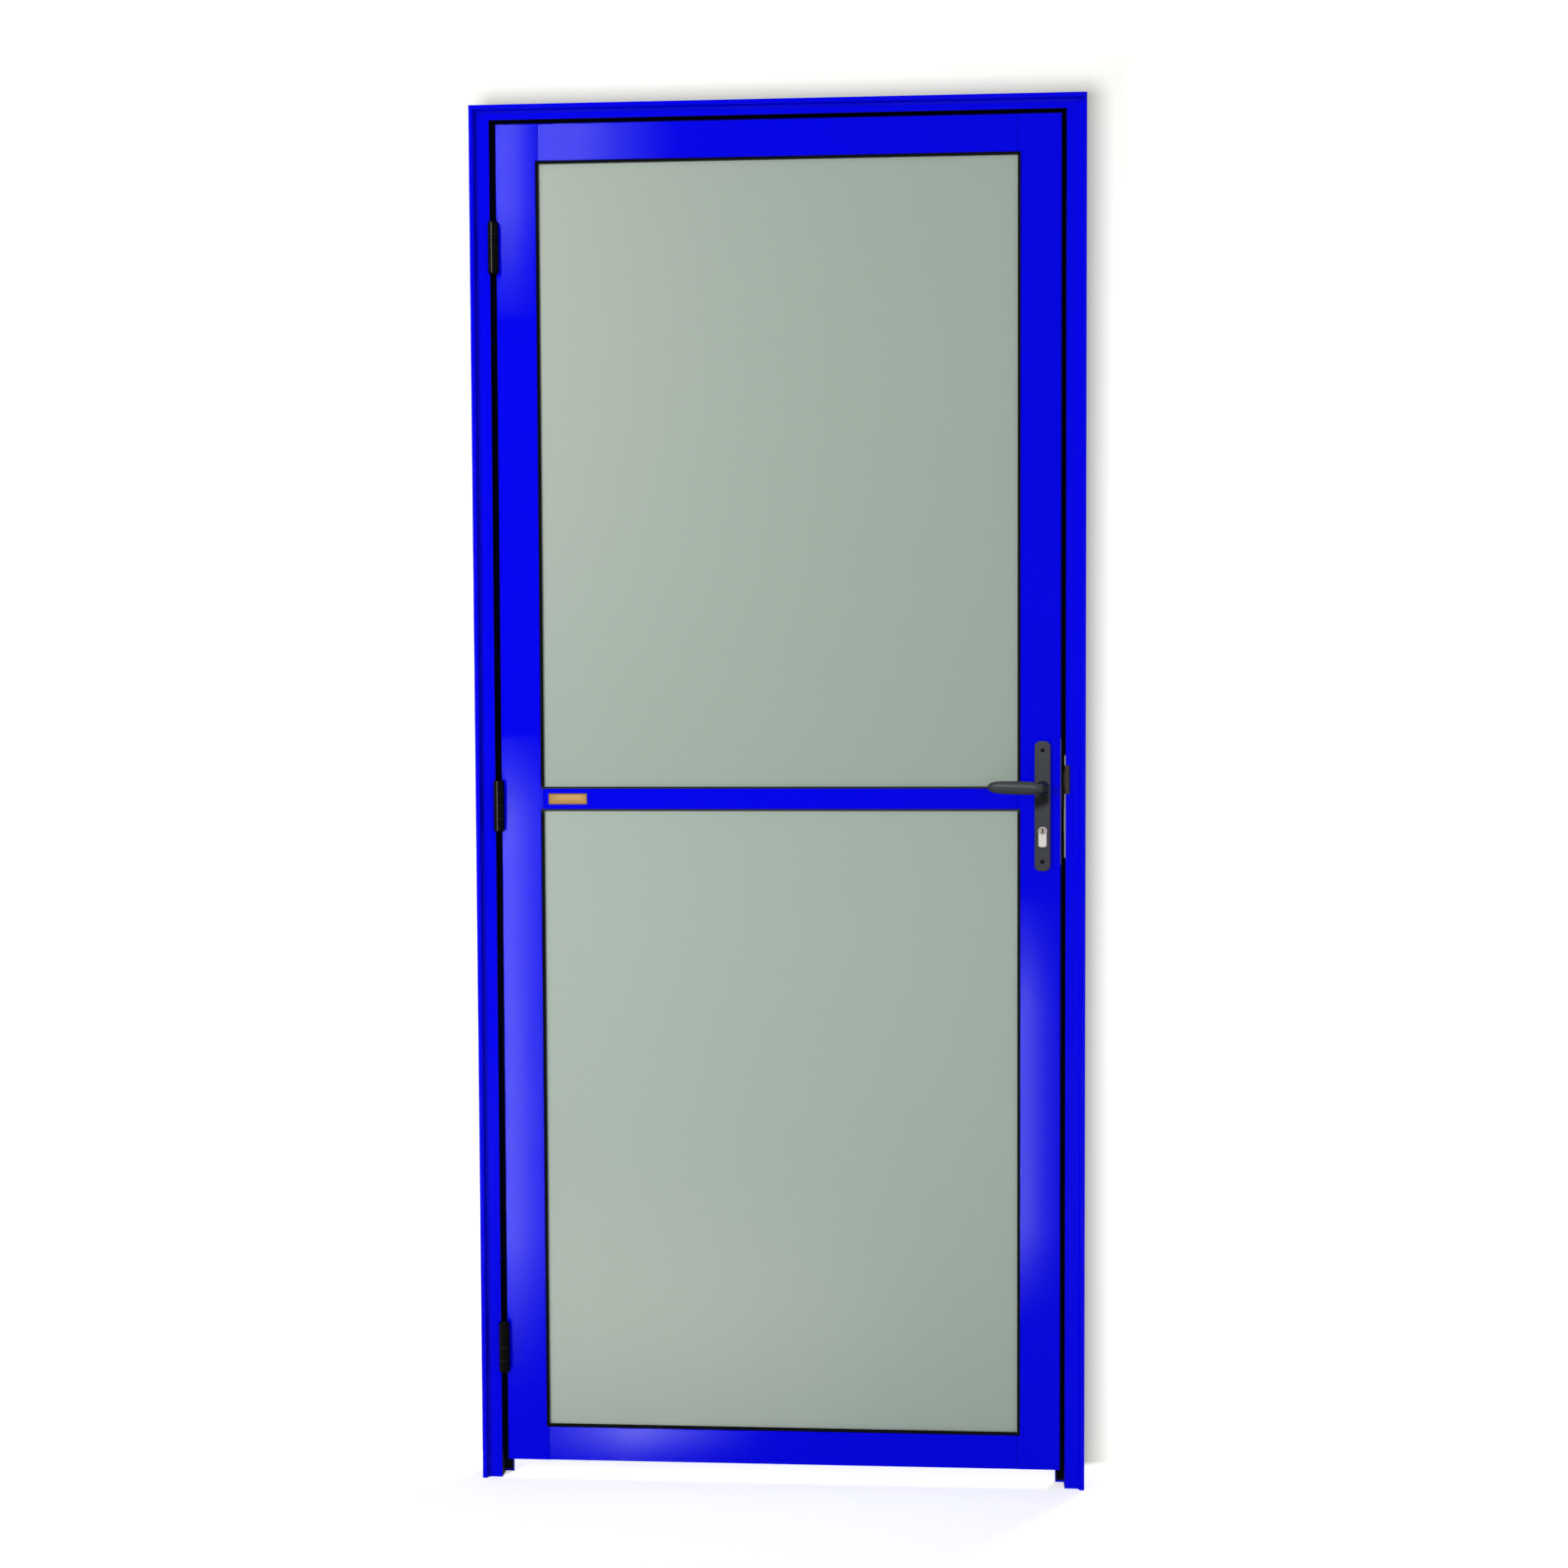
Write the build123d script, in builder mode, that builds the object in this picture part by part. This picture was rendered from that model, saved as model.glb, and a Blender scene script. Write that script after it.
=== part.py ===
from build123d import *
import os
from math import sqrt

# Aluminium glass door: a three-sided frame and one glazed leaf, hung on three butt hinges.
# X runs from the hinge jamb's wall face to the lock jamb's, Y runs away from the viewer and Z up.
# Y is 0 on the leaf's front face, which is flush with the frame's front face. Sizes are in mm.

# overall size
door_width = 948
door_height = 2150

# frame section
jamb_face = 30.5
head_face = 22.5
frame_depth = 42
frame_wall = 1.6
lip_width = 7.5
lip_depth = 7
lip_edge = 1
stop_clearance = 4
stop_lap = 3.5
stop_thickness = 1.8
edge_radius = 0.7

# stop gasket section
stop_gasket_inset = 1.5
stop_gasket_base = 1.4
seal_gap = 0.5
root_bead_radius = 1.1
stop_gasket_end = 4

# gaps between leaf and frame
hinge_gap = 10
lock_gap = 7.5
head_gap = 7
floor_gap = 29

# leaf sections
leaf_thickness = 25
leaf_wall = 1.4
stile_face = 61.5
top_rail_face = 56
bottom_rail_face = 53
mid_rail_face = 31.3
mid_rail_z = 1078.5
rebate = 15
mid_rebate = 8

# glazing
glass_y = 5
glass_thickness = 5
glass_edge_gap = 3
gasket_strip = 4.5
mid_gasket_strip = 3.2
gasket_front_y = 0.7
gasket_edge = 0.4
gasket_grip = 4
rear_gasket_thickness = 1
rear_gasket_inset = 1
bead_setback = 2
bead_wall = 1.2
bead_joint = 0.2
bead_chamfer = 3

# hinges
lower_hinge_inset = 183
middle_hinge_drop = 10.5
upper_hinge_inset = 189.5
hinge_height = 80
knuckle_count = 4
knuckle_radius = 8.5
knuckle_gap = 0.4
knuckle_chamfer = 1.6
hinge_axis_inset = 7
knuckle_standoff = 1
pin_radius = 2.5
pin_clearance = 0.1
pin_recess = 0.6
bore_wall = 1
wing_thickness = 2.5
wing_setback = 3
wing_screw_setback = 12
wing_screw_spacing = 26
wing_screw_radius = 2
wing_screw_head_radius = 3.8
wing_screw_length = 9
drive_slot_width = 0.9
drive_slot_depth = 1.3
drive_slot_margin = 1.2

# lock set; the axis share is 0 closest to the stop and 1 closest to the tube's inner wall
lock_axis_share = 9 / 14
lever_z = 1097
cylinder_z = 1020.2
forend_z = 1073.5
forend_length = 195
forend_width = 16
forend_thickness = 3
forend_proud = 0.8
latch_z = 1108
latch_length = 19
dead_bolt_z = 1043
dead_bolt_length = 33
bolt_thickness = 11
bolt_end_gap = 4
bolt_clearance = 0.3
case_z = 1071
case_height = 158
case_thickness = 15
case_end_gap = 2.9
case_wall = 1.5
forend_screw_inset = 7
forend_screw_radius = 2
forend_screw_head_radius = 3.6
small_screw_length = 8

# strike plate
strike_z = 1066.3
strike_length = 159
strike_width = 20
strike_thickness = 1.5
strike_lip_length = 44
strike_lip_reach = 6.5
strike_lip_corner = 2.2
strike_bend_radius = 1
strike_hole_margin = 1.5
strike_screw_head_radius = 3.4

# lever furniture
plate_width = 24.2
plate_height = 200.5
plate_z = 1067.3
plate_thickness = 5
plate_end_radius = 9
plate_edge = 1.4
plate_screw_inset = 14.25
plate_screw_radius = 2
plate_screw_head_radius = 3.3
plate_screw_recess = 1.6
plate_screw_head = 2
spindle_size = 8
spindle_hole_radius = 7
lever_length = 85
lever_height = 20.6
lever_thickness = 15
lever_reach = 62
lever_edge = 5
lever_tip_length = 20
neck_radius = 8
neck_clearance = 0.2
neck_seat_gap = 0.3
spindle_grip = 30

# lock cylinder
cylinder_round_radius = 6.8
cylinder_body_width = 12.6
cylinder_height = 31.5
cylinder_proud = 4
cylinder_edge = 0.6
cylinder_hole_clearance = 0.4
plug_radius = 4.6
plug_clearance = 0.1
plug_length = 14
plug_proud = 0.4
key_slot_width = 1.8
key_slot_height = 6.4
key_slot_depth = 6

# label plate
label_inset = 104
label_width = 60.8
label_height = 17.4
label_thickness = 0.8
label_radius = 1.5

# frame fixing holes, in each jamb
fixing_hole_radius = 3.25
fixing_hole_y = 14
fixing_hole_bottom = 350
fixing_hole_top = 360
fixing_hole_count = 4

# derived places
return_x = door_width - jamb_face
leaf_left = jamb_face + hinge_gap
leaf_right = return_x - lock_gap
leaf_bottom = floor_gap
leaf_top = door_height - head_face - head_gap
cove_radius = lip_depth - lip_edge
stop_y = leaf_thickness + stop_clearance
stop_width = hinge_gap + stop_lap
stop_gasket_width = stop_width - stop_gasket_inset
seal_bulb_radius = (stop_clearance - seal_gap) / 2
stile_joint_face = stile_face + gasket_strip
stile_tube = stile_face - rebate
tube_left = leaf_left + stile_tube
tube_right = leaf_right - stile_tube
top_tube = top_rail_face - rebate
bottom_tube = bottom_rail_face - rebate
mid_tube = mid_rail_face - 2 * mid_rebate
glass_back_y = glass_y + glass_thickness
bead_front_y = glass_back_y + rear_gasket_thickness
rail_bottom_face_z = leaf_bottom + bottom_rail_face
mid_face_low_z = mid_rail_z - mid_rail_face / 2
mid_face_high_z = mid_rail_z + mid_rail_face / 2
top_face_z = leaf_top - top_rail_face
hinge_heights = {
    "lower": leaf_bottom + lower_hinge_inset,
    "middle": mid_rail_z - middle_hinge_drop,
    "upper": leaf_top - upper_hinge_inset,
}
hinge_axis_x = jamb_face + hinge_axis_inset
hinge_axis_y = -knuckle_radius - knuckle_standoff
wing_root_depth = -hinge_axis_y - pin_radius - bore_wall
wing_width = leaf_thickness - wing_setback
wing_screw_y = leaf_thickness - wing_screw_setback
case_inner_depth = stile_tube - leaf_wall - case_end_gap - case_wall
backset_low = stop_width - lock_gap + plate_width / 2
backset_high = case_inner_depth - cylinder_round_radius - cylinder_hole_clearance
backset = backset_low + lock_axis_share * (backset_high - backset_low)
lock_axis_x = leaf_right - backset
lock_y = leaf_thickness / 2
case_depth = case_inner_depth + case_wall - forend_thickness + forend_proud
bolt_depth = backset + forend_proud - cylinder_round_radius - bolt_end_gap
fixing_hole_span = door_height - fixing_hole_bottom - fixing_hole_top
fixing_hole_spacing = fixing_hole_span / (fixing_hole_count - 1)

parts = {}


def keep(name, piece):
    """Label a finished piece and keep it under its node's name."""
    piece.part.label = name
    parts[name] = piece.part


def edge_plane(edge, left, right, bottom, top):
    """Sketch plane at one edge of a rectangle: x points inwards and y is depth."""
    planes = {
        "left": Plane(origin=(left, 0, bottom), x_dir=(1, 0, 0), z_dir=(0, 0, 1)),
        "right": Plane(origin=(right, 0, top), x_dir=(-1, 0, 0), z_dir=(0, 0, -1)),
        "top": Plane(origin=(left, 0, top), x_dir=(0, 0, -1), z_dir=(1, 0, 0)),
        "bottom": Plane(origin=(right, 0, bottom), x_dir=(0, 0, 1), z_dir=(-1, 0, 0)),
    }
    return planes[edge]


def frame_plane(edge):
    return edge_plane(edge, 0, door_width, 0, door_height)


def leaf_plane(edge):
    return edge_plane(edge, leaf_left, leaf_right, leaf_bottom, leaf_top)


def block(low, high, mode=Mode.ADD):
    """Box between two corners, for use inside a part."""
    size = [high[i] - low[i] for i in range(3)]
    with Locations(tuple((low[i] + high[i]) / 2 for i in range(3))):
        Box(*size, mode=mode)


def hole_along_x(x_low, x_high, y, z, radius):
    with Locations(Location(((x_low + x_high) / 2, y, z), (0, 90, 0))):
        Cylinder(radius, x_high - x_low, mode=Mode.SUBTRACT)


# frame


def frame_section(face):
    """Hollow frame section: lip, cove, flat face, return with its stop fin, and back."""
    arc_offset = cove_radius * (1 - sqrt(0.5))
    with BuildLine() as outline:
        Line((0, -lip_depth), (lip_width, -lip_depth))
        Line((lip_width, -lip_depth), (lip_width, -cove_radius))
        ThreePointArc(
            (lip_width, -cove_radius),
            (lip_width + arc_offset, -arc_offset),
            (lip_width + cove_radius, 0),
        )
        Polyline(
            (lip_width + cove_radius, 0),
            (face, 0),
            (face, stop_y),
            (face + stop_width, stop_y),
            (face + stop_width, stop_y + stop_thickness),
            (face, stop_y + stop_thickness),
            (face, frame_depth),
            (0, frame_depth),
            (0, -lip_depth),
        )
    make_face(outline.edges())
    lip_corners = vertices().group_by(Axis.Y)[0]
    face_corner = vertices().sort_by_distance((face, 0))[0]
    fillet(lip_corners + [face_corner], edge_radius)
    hollow = (face - 2 * frame_wall, frame_depth - 2 * frame_wall)
    with Locations((face / 2, frame_depth / 2)):
        Rectangle(*hollow, mode=Mode.SUBTRACT)


def fixing_holes(wall_x, inward):
    """Holes for the wall screws, through both webs of a jamb."""
    x_low, x_high = sorted((wall_x - inward, wall_x + inward * (jamb_face + 1)))
    for i in range(fixing_hole_count):
        z = fixing_hole_bottom + i * fixing_hole_spacing
        hole_along_x(x_low, x_high, fixing_hole_y, z, fixing_hole_radius)


def mitre_cut(edge):
    """Cut a jamb's top: mitred with the head's face, square under it, and under the head's stop fin."""
    plane = frame_plane(edge)
    u = plane.x_dir.X
    wall_x = plane.origin.X
    below_head = door_height - head_face
    below_fin = below_head - stop_width
    outside = jamb_face + stop_width + 1
    outline = (
        (0, door_height),
        (head_face, below_head),
        (jamb_face, below_head),
        (jamb_face, below_fin),
        (outside, below_fin),
        (outside, door_height + 1),
        (0, door_height + 1),
        (0, door_height),
    )
    with BuildSketch(Plane.XZ) as waste:
        with BuildLine():
            Polyline(*[(wall_x + u * across, z) for across, z in outline])
        make_face()
    extrude(waste.sketch, amount=frame_depth + lip_depth + 1, both=True, mode=Mode.SUBTRACT)


def wing_screw_places(hinge_z):
    return [hinge_z + side * wing_screw_spacing for side in (-1, 0, 1)]


def wing_screw_holes(x_low, x_high):
    for hinge_z in hinge_heights.values():
        for z in wing_screw_places(hinge_z):
            hole_along_x(x_low, x_high, wing_screw_y, z, wing_screw_radius)


def end_screw_places(middle_z, length):
    return [middle_z + side * (length / 2 - forend_screw_inset) for side in (-1, 1)]


with BuildPart() as hinge_jamb:
    with BuildSketch(frame_plane("left")):
        frame_section(jamb_face)
    extrude(amount=door_height)
    mitre_cut("left")
    fixing_holes(0, 1)
    wing_screw_holes(jamb_face - frame_wall - 1, jamb_face + 1)
keep("hinge_jamb", hinge_jamb)

with BuildPart() as lock_jamb:
    with BuildSketch(frame_plane("right")):
        frame_section(jamb_face)
    extrude(amount=door_height)
    mitre_cut("right")
    fixing_holes(door_width, -1)
    for bolt_z, length in ((latch_z, latch_length), (dead_bolt_z, dead_bolt_length)):
        half_length = length / 2 + 2 * strike_hole_margin
        half_width = bolt_thickness / 2 + 2 * strike_hole_margin
        block(
            (return_x - 1, lock_y - half_width, bolt_z - half_length),
            (return_x + frame_wall + 1, lock_y + half_width, bolt_z + half_length),
            mode=Mode.SUBTRACT,
        )
    for z in end_screw_places(strike_z, strike_length):
        hole_along_x(return_x - 1, return_x + frame_wall + 1, lock_y, z, forend_screw_radius)
keep("lock_jamb", lock_jamb)

with BuildPart() as head:
    with BuildSketch(frame_plane("top")):
        frame_section(head_face)
    extrude(amount=door_width)
    with BuildSketch(Plane.XZ):
        for wall_x, inward in ((0, 1), (door_width, -1)):
            with BuildLine():
                Polyline(
                    (wall_x, door_height),
                    (wall_x + inward * head_face, door_height - head_face),
                    (wall_x + inward * jamb_face, door_height - head_face),
                    (wall_x + inward * jamb_face, door_height - head_face - stop_width - 1),
                    (wall_x - inward, door_height - head_face - stop_width - 1),
                    (wall_x - inward, door_height),
                    (wall_x, door_height),
                )
            make_face()
    extrude(amount=frame_depth + lip_depth + 1, both=True, mode=Mode.SUBTRACT)
keep("head", head)


def stop_gasket_section(face):
    """Rubber strip on the stop fin: a flat base, a bead in the corner and a bulb that meets the leaf."""
    base_y = stop_y - stop_gasket_base
    bulb_y = leaf_thickness + seal_gap + seal_bulb_radius
    with Locations((face + stop_gasket_width / 2, stop_y - stop_gasket_base / 2)):
        Rectangle(stop_gasket_width, stop_gasket_base)
    with Locations((face + stop_gasket_width - seal_bulb_radius, bulb_y)):
        Circle(seal_bulb_radius)
    with Locations((face + root_bead_radius, base_y)):
        Circle(root_bead_radius)


side_gasket_top = door_height - head_face - stop_gasket_width
for name, edge in (("hinge_stop_gasket", "left"), ("lock_stop_gasket", "right")):
    with BuildPart() as stop_gasket:
        with BuildSketch(frame_plane(edge)):
            stop_gasket_section(jamb_face)
        extrude(amount=door_height)
        block(
            (0, 0, side_gasket_top), (door_width, frame_depth, door_height), mode=Mode.SUBTRACT
        )
        block((0, 0, 0), (door_width, frame_depth, stop_gasket_end), mode=Mode.SUBTRACT)
    keep(name, stop_gasket)

with BuildPart() as head_stop_gasket:
    with BuildSketch(frame_plane("top")):
        stop_gasket_section(head_face)
    extrude(amount=door_width)
    for x_low, x_high in ((0, jamb_face), (return_x, door_width)):
        block((x_low, 0, 0), (x_high, frame_depth, door_height), mode=Mode.SUBTRACT)
keep("head_stop_gasket", head_stop_gasket)

# leaf


def rail_section(face, tube):
    """Hollow tube with a thin flange that covers the edge of the glass from the front."""
    with BuildLine() as outline:
        Polyline(
            (0, 0),
            (face, 0),
            (face, leaf_wall),
            (tube, leaf_wall),
            (tube, leaf_thickness),
            (0, leaf_thickness),
            (0, 0),
        )
    make_face(outline.edges())
    fillet(vertices().sort_by_distance((0, 0))[0], edge_radius)
    with Locations((tube / 2, leaf_thickness / 2)):
        Rectangle(tube - 2 * leaf_wall, leaf_thickness - 2 * leaf_wall, mode=Mode.SUBTRACT)


def stile(edge):
    """Full-height stile, its flange cut back beside both panes for the gasket."""
    plane = leaf_plane(edge)
    inward = plane.x_dir.X
    x_near = plane.origin.X + inward * stile_face
    x_far = plane.origin.X + inward * (stile_joint_face + 1)
    x_low, x_high = sorted((x_near, x_far))
    with BuildSketch(plane) as section:
        rail_section(stile_joint_face, stile_tube)
    extrude(section.sketch, amount=leaf_top - leaf_bottom)
    for z_low, z_high in ((rail_bottom_face_z, mid_face_low_z), (mid_face_high_z, top_face_z)):
        block((x_low, -1, z_low), (x_high, leaf_wall + 1, z_high), mode=Mode.SUBTRACT)


def cylinder_outline(clearance=0):
    """Front outline of the lock cylinder: a round head over a narrower body with rounded corners."""
    top_z = cylinder_z + cylinder_height / 2
    bottom_z = cylinder_z - cylinder_height / 2 - clearance
    round_z = top_z - cylinder_round_radius
    width = cylinder_body_width + 2 * clearance
    with Locations((lock_axis_x, round_z)):
        Circle(cylinder_round_radius + clearance)
    with Locations((lock_axis_x, (round_z + bottom_z) / 2)):
        RectangleRounded(width, round_z - bottom_z, width / 4)


def plate_screw_places():
    return [plate_z + side * (plate_height / 2 - plate_screw_inset) for side in (-1, 1)]


def furniture_holes(y_low, y_high, spindle_radius, screw_radius):
    """Holes along Y for the spindle or lever neck, the cylinder and the plate screws."""
    with BuildSketch(Plane.XZ.offset(-y_low)) as holes:
        with Locations((lock_axis_x, lever_z)):
            Circle(spindle_radius)
        cylinder_outline(cylinder_hole_clearance)
        for z in plate_screw_places():
            with Locations((lock_axis_x, z)):
                Circle(screw_radius)
    extrude(holes.sketch, amount=-(y_high - y_low), mode=Mode.SUBTRACT)


with BuildPart() as hinge_stile:
    stile("left")
    wing_screw_holes(leaf_left - 1, leaf_left + leaf_wall + 1)
keep("hinge_stile", hinge_stile)

with BuildPart() as lock_stile:
    stile("right")
    block(
        (leaf_right - leaf_wall - 1, lock_y - forend_width / 2, forend_z - forend_length / 2),
        (leaf_right + 1, lock_y + forend_width / 2, forend_z + forend_length / 2),
        mode=Mode.SUBTRACT,
    )
    furniture_holes(-1, leaf_thickness + 1, spindle_hole_radius, plate_screw_radius + 0.3)
keep("lock_stile", lock_stile)


def notch_rail_ends(z_low, z_high):
    """Take a rail's front wall away where it runs behind the stiles' flanges."""
    left = leaf_left + stile_joint_face
    right = leaf_right - stile_joint_face
    for x_low, x_high in ((leaf_left, left), (right, leaf_right)):
        block((x_low, -1, z_low - 1), (x_high, leaf_wall, z_high + 1), mode=Mode.SUBTRACT)


rail_length = tube_right - tube_left

with BuildPart() as top_rail:
    with BuildSketch(edge_plane("top", tube_left, tube_right, leaf_bottom, leaf_top)):
        rail_section(top_rail_face, top_tube)
    extrude(amount=rail_length)
    notch_rail_ends(top_face_z, leaf_top)
keep("top_rail", top_rail)

with BuildPart() as bottom_rail:
    with BuildSketch(edge_plane("bottom", tube_left, tube_right, leaf_bottom, leaf_top)):
        rail_section(bottom_rail_face, bottom_tube)
    extrude(amount=rail_length)
    notch_rail_ends(leaf_bottom, rail_bottom_face_z)
keep("bottom_rail", bottom_rail)

with BuildPart() as mid_rail:
    block((tube_left, 0, mid_face_low_z), (tube_right, leaf_wall, mid_face_high_z))
    block(
        (tube_left, 0, mid_rail_z - mid_tube / 2),
        (tube_right, leaf_thickness, mid_rail_z + mid_tube / 2),
    )
    inner_half = mid_tube / 2 - leaf_wall
    block(
        (tube_left, leaf_wall, mid_rail_z - inner_half),
        (tube_right, leaf_thickness - leaf_wall, mid_rail_z + inner_half),
        mode=Mode.SUBTRACT,
    )
    notch_rail_ends(mid_face_low_z, mid_face_high_z)
keep("mid_rail", mid_rail)

# glazing: each pane has the rebate around it, with its own strip widths above and below
panes = {
    "upper": {
        "tube": (mid_rail_z + mid_tube / 2, leaf_top - top_tube),
        "face": (mid_face_high_z, top_face_z),
        "strip": (mid_gasket_strip, gasket_strip),
    },
    "lower": {
        "tube": (leaf_bottom + bottom_tube, mid_rail_z - mid_tube / 2),
        "face": (rail_bottom_face_z, mid_face_low_z),
        "strip": (gasket_strip, mid_gasket_strip),
    },
}


def ring(outer, inner, y_low, y_high):
    """Flat rectangular ring between two depths; outer and inner are (left, right, low, high)."""
    block((outer[0], y_low, outer[2]), (outer[1], y_high, outer[3]))
    block((inner[0], y_low, inner[2]), (inner[1], y_high, inner[3]), mode=Mode.SUBTRACT)


def bead_section(width):
    """Hollow glazing bead with its corner next to the glass chamfered."""
    with BuildLine() as outline:
        Polyline(
            (0, bead_front_y),
            (width, bead_front_y),
            (width, leaf_thickness - bead_chamfer),
            (width - bead_chamfer, leaf_thickness),
            (0, leaf_thickness),
            (0, bead_front_y),
        )
    make_face(outline.edges())
    offset(amount=-bead_wall, kind=Kind.INTERSECTION, mode=Mode.SUBTRACT)


for level, pane in panes.items():
    tube_low, tube_high = pane["tube"]
    face_low, face_high = pane["face"]
    strip_low, strip_high = pane["strip"]
    sight = (
        leaf_left + stile_face + gasket_strip,
        leaf_right - stile_face - gasket_strip,
        face_low + strip_low,
        face_high - strip_high,
    )
    flanges = (leaf_left + stile_face, leaf_right - stile_face, face_low, face_high)
    grip = (
        flanges[0] - gasket_grip,
        flanges[1] + gasket_grip,
        flanges[2] - gasket_grip,
        flanges[3] + gasket_grip,
    )

    with BuildPart() as glass:
        block(
            (tube_left + glass_edge_gap, glass_y, tube_low + glass_edge_gap),
            (tube_right - glass_edge_gap, glass_back_y, tube_high - glass_edge_gap),
        )
    keep(f"{level}_glass", glass)

    with BuildPart() as front_gasket:
        ring(grip, sight, leaf_wall, glass_y)
        ring(flanges, sight, gasket_front_y, leaf_wall)
        chamfer(edges().group_by(Axis.Y)[0], gasket_edge)
    keep(f"{level}_front_gasket", front_gasket)

    with BuildPart() as rear_gasket:
        glass_outer = (
            tube_left + glass_edge_gap,
            tube_right - glass_edge_gap,
            tube_low + glass_edge_gap,
            tube_high - glass_edge_gap,
        )
        gasket_inner = (
            sight[0] - rear_gasket_inset,
            sight[1] + rear_gasket_inset,
            sight[2] - rear_gasket_inset,
            sight[3] + rear_gasket_inset,
        )
        ring(glass_outer, gasket_inner, glass_back_y, bead_front_y)
    keep(f"{level}_rear_gasket", rear_gasket)

    with BuildPart() as beads:
        bead_low = sight[2] - bead_setback
        bead_high = sight[3] + bead_setback
        side_width = sight[0] - bead_setback - tube_left
        for edge, width in (("bottom", bead_low - tube_low), ("top", tube_high - bead_high)):
            with BuildSketch(edge_plane(edge, tube_left, tube_right, tube_low, tube_high)):
                bead_section(width)
            extrude(amount=tube_right - tube_left)
        z_low = bead_low + bead_joint
        z_high = bead_high - bead_joint
        for edge in ("left", "right"):
            with BuildSketch(edge_plane(edge, tube_left, tube_right, z_low, z_high)):
                bead_section(side_width)
            extrude(amount=z_high - z_low)
    keep(f"{level}_glazing_beads", beads)

# hinges
knuckle_pitch = hinge_height / knuckle_count


def knuckle(hinge_z, index):
    """One knuckle, counted from the bottom, chamfered where it is the end of the hinge."""
    low = hinge_z - hinge_height / 2 + index * knuckle_pitch
    high = low + knuckle_pitch
    rims = []
    if index > 0:
        low += knuckle_gap / 2
    else:
        rims.append(low)
    if index < knuckle_count - 1:
        high -= knuckle_gap / 2
    else:
        rims.append(high)
    with BuildSketch(Plane.XY.offset(low)) as barrel:
        with Locations((hinge_axis_x, hinge_axis_y)):
            Circle(knuckle_radius)
    extrude(barrel.sketch, amount=high - low)
    for rim_z in rims:
        round_edges = edges().filter_by(GeomType.CIRCLE)
        chamfer(round_edges.filter_by_position(Axis.Z, rim_z, rim_z), knuckle_chamfer)
    return low, high


def wing(hinge_z, x_low, own_knuckles, bore_radius):
    """Half a hinge: a flat wing in the gap, and every second knuckle joined to its front edge."""
    bottom = hinge_z - hinge_height / 2
    top = hinge_z + hinge_height / 2
    spans = [knuckle(hinge_z, index) for index in own_knuckles]
    for low, high in spans:
        block((x_low, -wing_root_depth, low), (x_low + wing_thickness, 0, high))
    block((x_low, 0, bottom), (x_low + wing_thickness, wing_width, top))
    with BuildSketch(Plane.XY.offset(bottom)) as bore:
        with Locations((hinge_axis_x, hinge_axis_y)):
            Circle(bore_radius)
    extrude(bore.sketch, amount=hinge_height, mode=Mode.SUBTRACT)


def screw_recess(seat, head_radius, shank_radius, depth):
    """Countersunk hole from the seat plane through a plate of the given depth."""
    cone_depth = head_radius - shank_radius
    with BuildSketch(seat) as rim:
        Circle(head_radius)
    with BuildSketch(seat.offset(-cone_depth)) as throat:
        Circle(shank_radius)
    loft([rim.sketch, throat.sketch], mode=Mode.SUBTRACT)
    extrude(throat.sketch, amount=cone_depth - depth - 1, mode=Mode.SUBTRACT)


def side_seat(x_face, y, z, outward):
    """Seat plane of a screw that runs along X; outward is the way its head faces."""
    return Plane(origin=(x_face, y, z), x_dir=(0, 1, 0), z_dir=(outward, 0, 0))


def wing_screw_recesses(hinge_z, x_face, outward):
    for z in wing_screw_places(hinge_z):
        seat = side_seat(x_face, wing_screw_y, z, outward)
        screw_recess(seat, wing_screw_head_radius, wing_screw_radius, wing_thickness)


frame_wing_x = jamb_face
leaf_wing_x = leaf_left - wing_thickness
for level, hinge_z in hinge_heights.items():
    with BuildPart() as frame_wing:
        wing(hinge_z, frame_wing_x, (0, 2), pin_radius)
        wing_screw_recesses(hinge_z, frame_wing_x + wing_thickness, 1)
    keep(f"{level}_hinge_frame_wing", frame_wing)

    with BuildPart() as leaf_wing:
        wing(hinge_z, leaf_wing_x, (1, 3), pin_radius + pin_clearance)
        wing_screw_recesses(hinge_z, leaf_wing_x, -1)
    keep(f"{level}_hinge_leaf_wing", leaf_wing)

with BuildPart() as hinge_pins:
    for hinge_z in hinge_heights.values():
        pin_bottom = hinge_z - hinge_height / 2 + pin_recess
        with BuildSketch(Plane.XY.offset(pin_bottom)):
            with Locations((hinge_axis_x, hinge_axis_y)):
                Circle(pin_radius)
        extrude(amount=hinge_height - 2 * pin_recess)
keep("hinge_pins", hinge_pins)


def drive_recess(seat, head_radius):
    """Cross-shaped recess for the screwdriver, in a head whose top is on the seat plane."""
    slot_length = 2 * (head_radius - drive_slot_margin)
    with BuildSketch(seat) as cross:
        Rectangle(slot_length, drive_slot_width)
        Rectangle(drive_slot_width, slot_length)
    extrude(cross.sketch, amount=-drive_slot_depth, mode=Mode.SUBTRACT)


def countersunk_screw(seat, head_radius, shank_radius, length):
    """Countersunk screw with its head flush with the seat plane and its shank behind it."""
    cone_depth = head_radius - shank_radius
    with BuildSketch(seat) as rim:
        Circle(head_radius)
    with BuildSketch(seat.offset(-cone_depth)) as throat:
        Circle(shank_radius)
    loft([rim.sketch, throat.sketch])
    extrude(throat.sketch, amount=-(length - cone_depth))
    drive_recess(seat, head_radius)


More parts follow.
